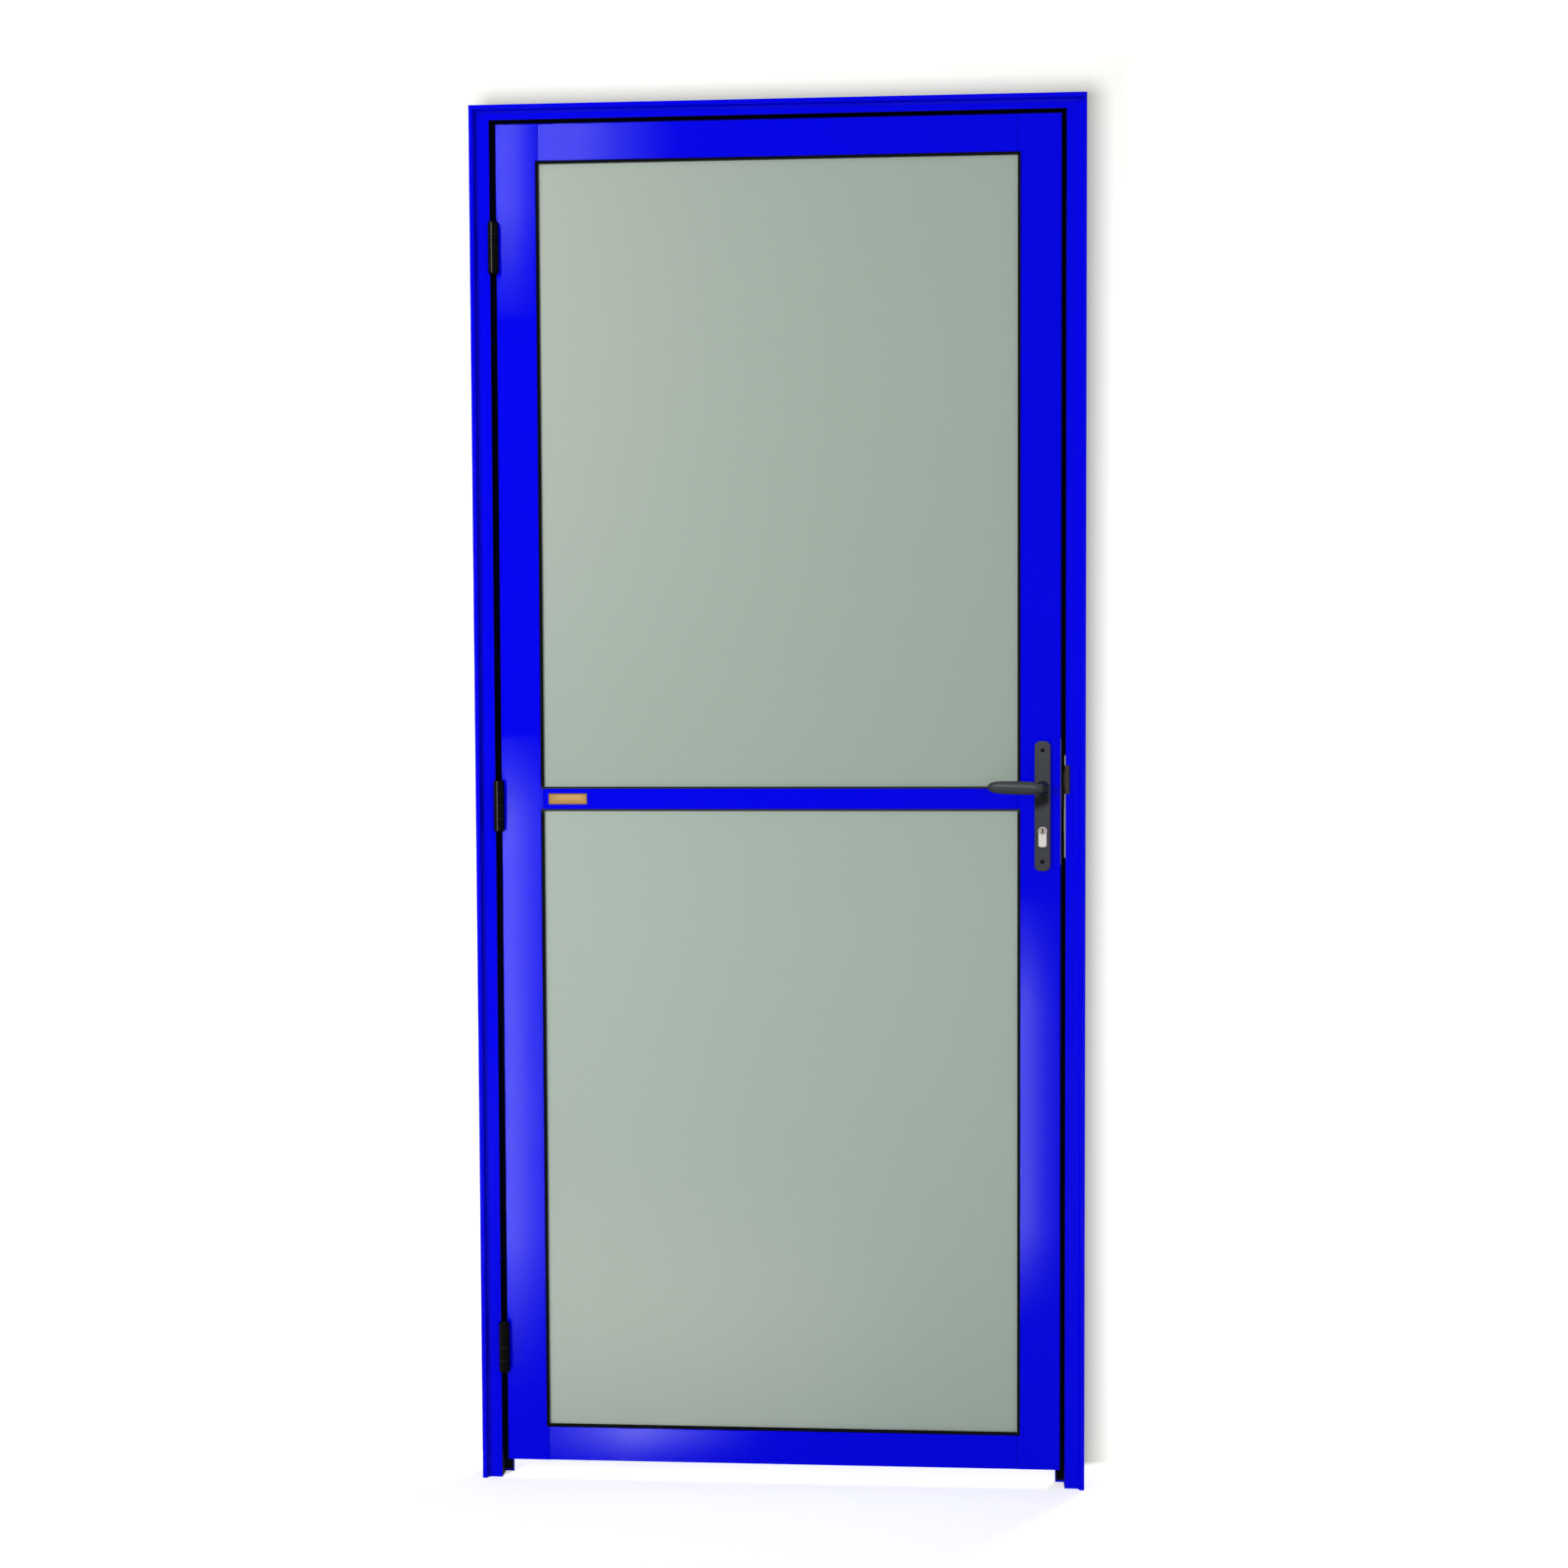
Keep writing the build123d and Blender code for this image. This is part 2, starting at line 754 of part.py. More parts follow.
for name, x_face, outward in (
    ("frame_wing_screws", frame_wing_x + wing_thickness, 1),
    ("leaf_wing_screws", leaf_wing_x, -1),
):
    with BuildPart() as wing_screws:
        for hinge_z in hinge_heights.values():
            for z in wing_screw_places(hinge_z):
                seat = side_seat(x_face, wing_screw_y, z, outward)
                countersunk_screw(seat, wing_screw_head_radius, wing_screw_radius, wing_screw_length)
    keep(name, wing_screws)

# lock, in the lock stile
forend_front_x = leaf_right + forend_proud
forend_back_x = forend_front_x - forend_thickness

with BuildPart() as forend:
    with BuildSketch(Plane.YZ.offset(forend_back_x)):
        with Locations((lock_y, forend_z)):
            RectangleRounded(forend_width, forend_length, 2)
        for bolt_z, length in ((latch_z, latch_length), (dead_bolt_z, dead_bolt_length)):
            with Locations((lock_y, bolt_z)):
                Rectangle(
                    bolt_thickness + 2 * bolt_clearance,
                    length + 2 * bolt_clearance,
                    mode=Mode.SUBTRACT,
                )
    extrude(amount=forend_thickness)
    for z in end_screw_places(forend_z, forend_length):
        seat = side_seat(forend_front_x, lock_y, z, 1)
        screw_recess(seat, forend_screw_head_radius, forend_screw_radius, forend_thickness)
keep("forend", forend)

with BuildPart() as forend_screws:
    for z in end_screw_places(forend_z, forend_length):
        seat = side_seat(forend_front_x, lock_y, z, 1)
        countersunk_screw(seat, forend_screw_head_radius, forend_screw_radius, small_screw_length)
keep("forend_screws", forend_screws)

with BuildPart() as lock_case:
    case_low = (forend_back_x - case_depth, lock_y - case_thickness / 2, case_z - case_height / 2)
    case_high = (forend_back_x, lock_y + case_thickness / 2, case_z + case_height / 2)
    block(case_low, case_high)
    block(
        tuple(value + case_wall for value in case_low),
        (forend_back_x, case_high[1] - case_wall, case_high[2] - case_wall),
        mode=Mode.SUBTRACT,
    )
    furniture_holes(case_low[1] - 1, case_high[1] + 1, spindle_hole_radius, plate_screw_radius)
keep("lock_case", lock_case)

for name, bolt_z, length in (
    ("latch_bolt", latch_z, latch_length),
    ("dead_bolt", dead_bolt_z, dead_bolt_length),
):
    with BuildPart() as bolt:
        block(
            (forend_front_x - bolt_depth, lock_y - bolt_thickness / 2, bolt_z - length / 2),
            (forend_front_x, lock_y + bolt_thickness / 2, bolt_z + length / 2),
        )
    keep(name, bolt)

# strike plate on the lock jamb
with BuildPart() as strike_plate:
    with BuildSketch(Plane.YZ.offset(return_x - strike_thickness)):
        with Locations((lock_y, strike_z)):
            RectangleRounded(strike_width, strike_length, 2)
        for bolt_z, length in ((latch_z, latch_length), (dead_bolt_z, dead_bolt_length)):
            with Locations((lock_y, bolt_z)):
                Rectangle(
                    bolt_thickness + 2 * strike_hole_margin,
                    length + 2 * strike_hole_margin,
                    mode=Mode.SUBTRACT,
                )
    extrude(amount=strike_thickness)
    for z in end_screw_places(strike_z, strike_length):
        seat = side_seat(return_x - strike_thickness, lock_y, z, -1)
        screw_recess(seat, strike_screw_head_radius, forend_screw_radius, strike_thickness)
    lip_low_z = latch_z - strike_lip_length / 2
    lip_high_z = latch_z + strike_lip_length / 2
    block(
        (return_x - strike_thickness, -strike_thickness, lip_low_z),
        (return_x, lock_y - strike_width / 2, lip_high_z),
    )
    block(
        (return_x, -strike_thickness, lip_low_z),
        (return_x + strike_lip_reach, 0, lip_high_z),
    )
    fillet(edges().filter_by(Axis.Y).group_by(Axis.X)[-1], strike_lip_corner)
    bend = (return_x - strike_thickness, -strike_thickness, latch_z)
    fillet(edges().filter_by(Axis.Z).sort_by_distance(bend)[0], strike_bend_radius)
keep("strike_plate", strike_plate)

with BuildPart() as strike_screws:
    for z in end_screw_places(strike_z, strike_length):
        seat = side_seat(return_x - strike_thickness, lock_y, z, -1)
        countersunk_screw(seat, strike_screw_head_radius, forend_screw_radius, small_screw_length)
keep("strike_screws", strike_screws)

# lever furniture


def backplate(surface_y, outward):
    """Long plate with rounded ends; outward is -1 on the front of the leaf and 1 on its back."""
    base = Plane(origin=(lock_axis_x, surface_y, plate_z), x_dir=(1, 0, 0), z_dir=(0, outward, 0))
    with BuildSketch(base) as outline:
        RectangleRounded(plate_width, plate_height, plate_end_radius)
    extrude(outline.sketch, amount=plate_thickness)
    outer_face = faces().sort_by(Axis.Y)[0 if outward < 0 else -1]
    fillet(outer_face.edges(), plate_edge)
    y_low, y_high = sorted((surface_y, surface_y + outward * plate_thickness))
    furniture_holes(y_low - 1, y_high + 1, neck_radius + neck_clearance, plate_screw_radius)
    for z in plate_screw_places():
        seat = Plane(
            origin=(lock_axis_x, surface_y + outward * plate_thickness, z),
            x_dir=(1, 0, 0),
            z_dir=(0, outward, 0),
        )
        with BuildSketch(seat) as recess:
            Circle(plate_screw_head_radius)
        extrude(recess.sketch, amount=-plate_screw_recess - plate_screw_head, mode=Mode.SUBTRACT)


with BuildPart() as front_backplate:
    backplate(0, -1)
keep("front_backplate", front_backplate)

with BuildPart() as rear_backplate:
    backplate(leaf_thickness, 1)
keep("rear_backplate", rear_backplate)

with BuildPart() as plate_screws:
    head_top = plate_thickness - plate_screw_recess
    for z in plate_screw_places():
        for surface_y, outward in ((0, -1), (leaf_thickness, 1)):
            seat = Plane(
                origin=(lock_axis_x, surface_y + outward * head_top, z),
                x_dir=(1, 0, 0),
                z_dir=(0, outward, 0),
            )
            with BuildSketch(seat):
                Circle(plate_screw_head_radius)
            extrude(amount=-plate_screw_head)
            with BuildSketch(seat):
                Circle(plate_screw_radius)
            extrude(amount=-head_top - leaf_thickness / 2)
            drive_recess(seat, plate_screw_head_radius)
keep("plate_screws", plate_screws)


def lever(surface_y, outward):
    """Lever on a round neck: a bar with a round elbow and a bullet-shaped tip, pointing to the glass."""
    half = lever_height / 2
    shoulder_x = lock_axis_x - lever_length + lever_tip_length
    bar_face = Plane(
        origin=(0, surface_y + outward * lever_reach, 0), x_dir=(1, 0, 0), z_dir=(0, -1, 0)
    )
    with BuildSketch(bar_face) as bar:
        with BuildLine():
            Line((shoulder_x, lever_z + half), (lock_axis_x, lever_z + half))
            ThreePointArc(
                (lock_axis_x, lever_z + half),
                (lock_axis_x + half, lever_z),
                (lock_axis_x, lever_z - half),
            )
            Line((lock_axis_x, lever_z - half), (shoulder_x, lever_z - half))
            EllipticalCenterArc(
                (shoulder_x, lever_z), lever_tip_length, half, start_angle=90, arc_size=180
            )
        make_face()
    extrude(bar.sketch, amount=outward * lever_thickness)
    fillet(faces().filter_by(Axis.Y).edges(), lever_edge)
    with BuildSketch(bar_face.offset(outward * lever_thickness / 2)) as neck:
        with Locations((lock_axis_x, lever_z)):
            Circle(neck_radius)
    extrude(neck.sketch, amount=outward * (lever_reach - lever_thickness / 2 - neck_seat_gap))
    with BuildSketch(Plane.XZ.offset(-surface_y)) as socket:
        with Locations((lock_axis_x, lever_z)):
            Rectangle(spindle_size, spindle_size)
    extrude(socket.sketch, amount=-outward * spindle_grip, mode=Mode.SUBTRACT)


with BuildPart() as front_lever:
    lever(0, -1)
keep("front_lever", front_lever)

with BuildPart() as rear_lever:
    lever(leaf_thickness, 1)
keep("rear_lever", rear_lever)

with BuildPart() as spindle:
    half_size = spindle_size / 2
    block(
        (lock_axis_x - half_size, -spindle_grip, lever_z - half_size),
        (lock_axis_x + half_size, leaf_thickness + spindle_grip, lever_z + half_size),
    )
keep("spindle", spindle)

# lock cylinder and its key plugs
cylinder_front_y = -plate_thickness - cylinder_proud
cylinder_back_y = leaf_thickness + plate_thickness + cylinder_proud
plug_z = cylinder_z + cylinder_height / 2 - cylinder_round_radius


def plug_plane(face_y, outward):
    return Plane(origin=(lock_axis_x, face_y, plug_z), x_dir=(1, 0, 0), z_dir=(0, outward, 0))


plug_sides = (("front_key_plug", cylinder_front_y, -1), ("rear_key_plug", cylinder_back_y, 1))

with BuildPart() as cylinder_body:
    with BuildSketch(Plane.XZ.offset(-cylinder_front_y)):
        cylinder_outline()
    extrude(amount=cylinder_front_y - cylinder_back_y)
    end_faces = faces().filter_by(Axis.Y)
    chamfer(end_faces.edges(), cylinder_edge)
    for name, face_y, outward in plug_sides:
        with BuildSketch(plug_plane(face_y, outward)):
            Circle(plug_radius + plug_clearance)
        extrude(amount=-plug_length - plug_clearance, mode=Mode.SUBTRACT)
keep("cylinder_body", cylinder_body)

for name, face_y, outward in plug_sides:
    with BuildPart() as key_plug:
        plug_face = plug_plane(face_y, outward).offset(plug_proud)
        with BuildSketch(plug_face):
            Circle(plug_radius)
        extrude(amount=-plug_length - plug_proud)
        with BuildSketch(plug_face):
            Rectangle(key_slot_width, key_slot_height)
        extrude(amount=-key_slot_depth, mode=Mode.SUBTRACT)
    keep(name, key_plug)

# bare label plate on the mid rail
with BuildPart() as label_plate:
    with BuildSketch(Plane.XZ):
        with Locations((leaf_left + label_inset, mid_rail_z)):
            RectangleRounded(label_width, label_height, label_radius)
    extrude(amount=label_thickness)
keep("label_plate", label_plate)

os.makedirs("parts", exist_ok=True)
for name, part in parts.items():
    export_step(part, f"parts/{name}.step")
print(len(parts), "pieces written")
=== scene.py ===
import math
import bmesh
import bpy
from mathutils import Matrix, Vector


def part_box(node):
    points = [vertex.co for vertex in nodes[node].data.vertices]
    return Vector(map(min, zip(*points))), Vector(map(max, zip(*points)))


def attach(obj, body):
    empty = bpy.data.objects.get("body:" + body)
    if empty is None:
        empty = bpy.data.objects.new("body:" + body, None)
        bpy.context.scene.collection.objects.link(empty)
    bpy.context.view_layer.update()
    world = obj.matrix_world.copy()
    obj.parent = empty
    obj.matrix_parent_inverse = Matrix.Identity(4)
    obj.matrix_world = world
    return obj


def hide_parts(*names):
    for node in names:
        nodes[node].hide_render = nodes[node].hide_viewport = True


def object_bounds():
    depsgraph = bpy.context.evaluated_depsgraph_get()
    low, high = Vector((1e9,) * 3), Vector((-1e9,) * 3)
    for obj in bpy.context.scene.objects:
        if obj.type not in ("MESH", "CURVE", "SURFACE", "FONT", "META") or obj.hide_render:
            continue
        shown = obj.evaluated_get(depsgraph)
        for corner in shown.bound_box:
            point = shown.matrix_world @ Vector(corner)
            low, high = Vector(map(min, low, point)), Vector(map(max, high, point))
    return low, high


# Blue aluminium glass door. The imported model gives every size, in metres:
# X runs along the door, Y away from the viewer, Z up.

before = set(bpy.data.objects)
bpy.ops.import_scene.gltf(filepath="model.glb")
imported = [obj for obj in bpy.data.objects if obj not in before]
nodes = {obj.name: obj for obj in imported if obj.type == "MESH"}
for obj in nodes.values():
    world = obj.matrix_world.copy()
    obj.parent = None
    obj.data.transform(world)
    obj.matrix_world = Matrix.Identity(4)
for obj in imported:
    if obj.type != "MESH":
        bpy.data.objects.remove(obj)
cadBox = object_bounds()
levels = ("lower", "middle", "upper")
print("frame loaded with", len(nodes), "nodes")


# small helpers for node trees and meshes

def addNode(tree, kind, **settings):
    node = tree.nodes.new(kind)
    for name, value in settings.items():
        setattr(node, name, value)
    return node


def feed(tree, source, socket):
    # a socket is linked, a number or colour is set
    if isinstance(source, bpy.types.NodeSocket):
        tree.links.new(source, socket)
    else:
        socket.default_value = source


def calc(tree, operation, *values, clamp=False):
    node = addNode(tree, "ShaderNodeMath", operation=operation, use_clamp=clamp)
    for i, value in enumerate(values):
        feed(tree, value, node.inputs[i])
    return node.outputs[0]


def blendColour(tree, factor, first, second):
    node = addNode(tree, "ShaderNodeMix", data_type="RGBA")
    feed(tree, factor, node.inputs["Factor"])
    feed(tree, first, node.inputs[6])
    feed(tree, second, node.inputs[7])
    return node.outputs[2]


def blendValue(tree, factor, first, second):
    node = addNode(tree, "ShaderNodeMix", data_type="FLOAT")
    feed(tree, factor, node.inputs["Factor"])
    feed(tree, first, node.inputs[2])
    feed(tree, second, node.inputs[3])
    return node.outputs[0]


def rgba(colour):
    return (*colour, 1)


def objectPlace(tree):
    place = addNode(tree, "ShaderNodeTexCoord")
    apart = addNode(tree, "ShaderNodeSeparateXYZ")
    feed(tree, place.outputs["Object"], apart.inputs[0])
    return apart.outputs


# shared effects: each is a node group that puts out masks, values or a normal

def newGroup(name, inputs, outputs):
    group = bpy.data.node_groups.new(name, "ShaderNodeTree")
    for socketName, kind, value in inputs:
        socket = group.interface.new_socket(socketName, in_out="INPUT", socket_type=kind)
        socket.default_value = value
    for socketName, kind in outputs:
        group.interface.new_socket(socketName, in_out="OUTPUT", socket_type=kind)
    return group, addNode(group, "NodeGroupInput").outputs, addNode(group, "NodeGroupOutput").inputs


edgeGain = 9.0  # how soon a turned normal counts as an edge


def softEdgeGroup():
    # rounds sharp corners in the shading and finds them for wear
    group, given, result = newGroup(
        "softEdge",
        [("Radius", "NodeSocketFloat", 0.0006), ("Wear", "NodeSocketFloat", 0.3),
            ("Scale", "NodeSocketFloat", 90.0)],
        [("Mask", "NodeSocketFloat"), ("Normal", "NodeSocketVector")],
    )
    rounded = addNode(group, "ShaderNodeBevel", samples=4)
    feed(group, given["Radius"], rounded.inputs["Radius"])
    plain = addNode(group, "ShaderNodeNewGeometry")
    facing = addNode(group, "ShaderNodeVectorMath", operation="DOT_PRODUCT")
    feed(group, rounded.outputs[0], facing.inputs[0])
    feed(group, plain.outputs["Normal"], facing.inputs[1])
    place = addNode(group, "ShaderNodeTexCoord")
    patches = addNode(group, "ShaderNodeTexNoise")
    feed(group, place.outputs["Object"], patches.inputs["Vector"])
    feed(group, given["Scale"], patches.inputs["Scale"])
    patches.inputs["Detail"].default_value = 3
    turned = calc(group, "SUBTRACT", 1.0, facing.outputs["Value"])
    edge = calc(group, "MULTIPLY", turned, edgeGain, clamp=True)
    uneven = calc(group, "MULTIPLY", edge, patches.outputs["Fac"])
    feed(group, calc(group, "MULTIPLY", uneven, given["Wear"], clamp=True), result["Mask"])
    feed(group, rounded.outputs[0], result["Normal"])
    return group


def fineGrainGroup():
    # small even bumps: orange peel on paint, matt skin on rubber, frost on glass
    group, given, result = newGroup(
        "fineGrain",
        [("Scale", "NodeSocketFloat", 800.0), ("Detail", "NodeSocketFloat", 2.0),
            ("Cloud Scale", "NodeSocketFloat", 6.0)],
        [("Height", "NodeSocketFloat"), ("Cloud", "NodeSocketFloat")],
    )
    place = addNode(group, "ShaderNodeTexCoord")
    grain = addNode(group, "ShaderNodeTexNoise")
    feed(group, place.outputs["Object"], grain.inputs["Vector"])
    feed(group, given["Scale"], grain.inputs["Scale"])
    feed(group, given["Detail"], grain.inputs["Detail"])
    cloud = addNode(group, "ShaderNodeTexNoise")
    feed(group, place.outputs["Object"], cloud.inputs["Vector"])
    feed(group, given["Cloud Scale"], cloud.inputs["Scale"])
    cloud.inputs["Detail"].default_value = 3
    feed(group, grain.outputs["Fac"], result["Height"])
    feed(group, cloud.outputs["Fac"], result["Cloud"])
    return group


def brushedGroup():
    # straight scratches left by a brush, along Z or along X
    group, given, result = newGroup(
        "brushed",
        [("Across", "NodeSocketFloat", 2600.0), ("Along", "NodeSocketFloat", 30.0),
            ("Along X", "NodeSocketFloat", 0.0)],
        [("Height", "NodeSocketFloat")],
    )
    xyz = objectPlace(group)
    across = calc(group, "ADD", xyz["X"], xyz["Y"])
    firstWay = blendValue(group, given["Along X"], across, xyz["Z"])
    otherWay = blendValue(group, given["Along X"], xyz["Z"], across)
    joined = addNode(group, "ShaderNodeCombineXYZ")
    feed(group, calc(group, "MULTIPLY", firstWay, given["Across"]), joined.inputs["X"])
    feed(group, calc(group, "MULTIPLY", otherWay, given["Along"]), joined.inputs["Y"])
    scratches = addNode(group, "ShaderNodeTexNoise")
    feed(group, joined.outputs[0], scratches.inputs["Vector"])
    scratches.inputs["Scale"].default_value = 1
    scratches.inputs["Detail"].default_value = 4
    feed(group, scratches.outputs["Fac"], result["Height"])
    return group


def bandGroup():
    # 1 within Half Width of a line in a value, fading over Fade
    group, given, result = newGroup(
        "band",
        [("Value", "NodeSocketFloat", 0.0), ("Middle", "NodeSocketFloat", 0.0),
            ("Half Width", "NodeSocketFloat", 0.0003), ("Fade", "NodeSocketFloat", 0.0001)],
        [("Mask", "NodeSocketFloat")],
    )
    away = calc(group, "ABSOLUTE", calc(group, "SUBTRACT", given["Value"], given["Middle"]))
    past = calc(group, "DIVIDE", calc(group, "SUBTRACT", away, given["Half Width"]), given["Fade"])
    feed(group, calc(group, "SUBTRACT", 1.0, past, clamp=True), result["Mask"])
    return group


softEdge = softEdgeGroup()
fineGrain = fineGrainGroup()
brushed = brushedGroup()
band = bandGroup()


def useGroup(tree, group, **values):
    node = addNode(tree, "ShaderNodeGroup", node_tree=group)
    for name, value in values.items():
        feed(tree, value, node.inputs[name.replace("_", " ")])
    return node.outputs


def startMaterial(name, viewColour):
    material = bpy.data.materials.new(name)
    material.use_nodes = True
    material.diffuse_color = rgba(viewColour)
    tree = material.node_tree
    return material, tree, tree.nodes["Principled BSDF"]


def bumpOn(tree, height, depth, normal=None, strength=1.0):
    bump = addNode(tree, "ShaderNodeBump")
    bump.inputs["Strength"].default_value = strength
    bump.inputs["Distance"].default_value = depth
    feed(tree, height, bump.inputs["Height"])
    if normal is not None:
        feed(tree, normal, bump.inputs["Normal"])
    return bump.outputs[0]


def between(tree, value, low, high, fade=0.0001):
    # 1 while the value lies between two limits
    middle, half = (low + high) / 2, (high - low) / 2
    return useGroup(tree, band, Value=value, Middle=middle, Half_Width=half, Fade=fade)["Mask"]


def rampUp(tree, value, start, width):
    # 0 up to the start, 1 from the start plus the width on
    return calc(tree, "DIVIDE", calc(tree, "SUBTRACT", value, start), width, clamp=True)


def unevenRoughness(tree, mask, middle, less, more=None):
    # a little smoother where the mask is 0, a little rougher where it is 1
    return blendValue(tree, mask, middle - less, middle + (more or less))


# powder-coated aluminium

paint = {
    "colour": (0.0, 0.0, 0.76),
    "edgeColour": (0.01, 0.01, 0.84),
    "seamColour": (0.0, 0.0, 0.36),
    "roughness": 0.035,
    "specular": 0.035,
    "peelScale": 700.0,
    "peelDepth": 0.000004,
    "edgeRadius": 0.0006,
    "seamHalfWidth": 0.0003,
    "seamDepth": 0.0002,
    "seamRoughness": 0.8,
    "frontDepth": 0.0015,
    "cloudShade": 0.94,
    "cloudRoughness": 0.01,
}


def paintMaterial(name, seams, paintedShades=None):
    material, tree, shader = startMaterial(name, paint["colour"])
    grain = useGroup(tree, fineGrain, Scale=paint["peelScale"], Detail=1.5, Cloud_Scale=5.0)
    edge = useGroup(tree, softEdge, Radius=paint["edgeRadius"], Wear=0.5, Scale=60.0)
    xyz = objectPlace(tree)
    seamMask = seams(tree, xyz)
    deeper = tuple(paint["cloudShade"] * c for c in paint["colour"])
    body = blendColour(tree, grain["Cloud"], rgba(deeper), rgba(paint["colour"]))
    wearAndSheen = blendColour(tree, edge["Mask"], body, rgba(paint["edgeColour"]))
    colour = blendColour(tree, seamMask, wearAndSheen, rgba(paint["seamColour"]))
    rough = unevenRoughness(tree, grain["Cloud"], paint["roughness"], paint["cloudRoughness"])
    # the frame's painted shade
    if paintedShades:
        colour, rough = paintedShades(tree, xyz, colour, rough)
    feed(tree, colour, shader.inputs["Base Color"])
    feed(tree, blendValue(tree, seamMask, rough, paint["seamRoughness"]), shader.inputs["Roughness"])
    shader.inputs["Specular IOR Level"].default_value = paint["specular"]
    rounded = bumpOn(tree, grain["Height"], paint["peelDepth"], edge["Normal"])
    cut = calc(tree, "SUBTRACT", 1.0, seamMask)
    feed(tree, bumpOn(tree, cut, paint["seamDepth"], rounded), shader.inputs["Normal"])
    return material


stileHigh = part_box("hinge_stile")[1]
lockLow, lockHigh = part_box("lock_stile")
railLow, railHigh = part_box("top_rail")
midLow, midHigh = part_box("mid_rail")
headLow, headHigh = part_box("head")


def leafSeams(tree, xyz):
    # butt joints: at the stiles' joint lines in front, at their tubes behind
    half = paint["seamHalfWidth"]
    front = calc(tree, "LESS_THAN", xyz["Y"], paint["frontDepth"])
    behind = calc(tree, "SUBTRACT", 1.0, front)
    joints = ((stileHigh.x, front), (lockLow.x, front), (railLow.x, behind), (railHigh.x, behind))
    masks = []
    for x, side in joints:
        line = useGroup(tree, band, Value=xyz["X"], Middle=x, Half_Width=half)["Mask"]
        masks.append(calc(tree, "MULTIPLY", line, side))
    return calc(tree, "MAXIMUM", calc(tree, "MAXIMUM", *masks[:2]), calc(tree, "MAXIMUM", *masks[2:]))


def frameSeams(tree, xyz):
    # mitres in the top corners of the frame: there x + z is the same all along the joint
    half = paint["seamHalfWidth"]
    above = calc(tree, "GREATER_THAN", xyz["Z"], headHigh.z - framePaintedShade["lipZ"])
    mitres = []
    for across in (xyz["X"], calc(tree, "SUBTRACT", headHigh.x, xyz["X"])):
        diagonal = calc(tree, "ADD", across, xyz["Z"])
        line = useGroup(tree, band, Value=diagonal, Middle=headHigh.z, Half_Width=half)["Mask"]
        mitres.append(line)
    return calc(tree, "MULTIPLY", calc(tree, "MAXIMUM", *mitres), above)


# painted shade for the frame: black in the rebate's gap, darker paint in the cove
framePaintedShade = {
    "colour": (0.002, 0.002, 0.002),
    "roughness": 0.55,
    "lipX": 0.0305,
    "lipZ": 0.0225,
    "overlap": 0.0003,
    "front": 0.0006,
    "back": 0.0255,
    "coveStart": 0.0062,
    "coveWidth": 0.0055,
    "coveFade": 0.003,
    "coveShare": 0.45,
    "coveShadeColour": (0.0, 0.0, 0.30),
}


def framePaintedShades(tree, xyz, colour, rough):
    # painted shade: black all round the rebate, where the gap lies in shadow, and darker paint in the
    # hollow of the cove on the left jamb and the head
    lipX = framePaintedShade["lipX"]
    overlap = framePaintedShade["overlap"]
    inLeft = calc(tree, "GREATER_THAN", xyz["X"], lipX - overlap)
    inRight = calc(tree, "LESS_THAN", xyz["X"], headHigh.x - lipX + overlap)
    below = calc(tree, "LESS_THAN", xyz["Z"], headHigh.z - framePaintedShade["lipZ"] + overlap)
    inside = calc(tree, "MULTIPLY", calc(tree, "MULTIPLY", inLeft, inRight), below)
    deep = between(tree, xyz["Y"], headLow.y + framePaintedShade["front"], framePaintedShade["back"], overlap)
    gapShade = calc(tree, "MULTIPLY", inside, deep)
    # painted shade in the cove, fading out towards the face
    start = framePaintedShade["coveStart"]
    fromLeft = calc(tree, "SUBTRACT", xyz["X"], start)
    fromTop = calc(tree, "SUBTRACT", headHigh.z - start, xyz["Z"])
    nearest = calc(tree, "MINIMUM", fromLeft, fromTop)
    past = calc(tree, "GREATER_THAN", nearest, 0.0)
    fade = rampUp(tree, nearest, framePaintedShade["coveWidth"], framePaintedShade["coveFade"])
    coveShade = calc(tree, "MULTIPLY", calc(tree, "SUBTRACT", 1.0, fade, clamp=True), past)
    share = calc(tree, "MULTIPLY", coveShade, framePaintedShade["coveShare"])
    deeper = blendColour(tree, share, colour, rgba(framePaintedShade["coveShadeColour"]))
    shaded = blendColour(tree, gapShade, deeper, rgba(framePaintedShade["colour"]))
    return shaded, blendValue(tree, gapShade, rough, framePaintedShade["roughness"])


def noSeams(tree, xyz):
    return 0.0


leafPaint = paintMaterial("leafPaint", leafSeams)
framePaint = paintMaterial("framePaint", frameSeams, framePaintedShades)
beadPaint = paintMaterial("beadPaint", noSeams)
print("paint mixed")

# rubber

# rubber, with painted light on the strips along the middle rail
rubber = {
    "colour": (0.003, 0.003, 0.003),
    "paintedLitGrey": (0.026, 0.026, 0.03),
    "wearAndSheen": (0.014, 0.014, 0.014),
    "roughness": 0.55,
    "unevenness": 0.08,
    "specular": 0.04,
    "grainDepth": 0.00003,
    "railReach": 0.0045,
}


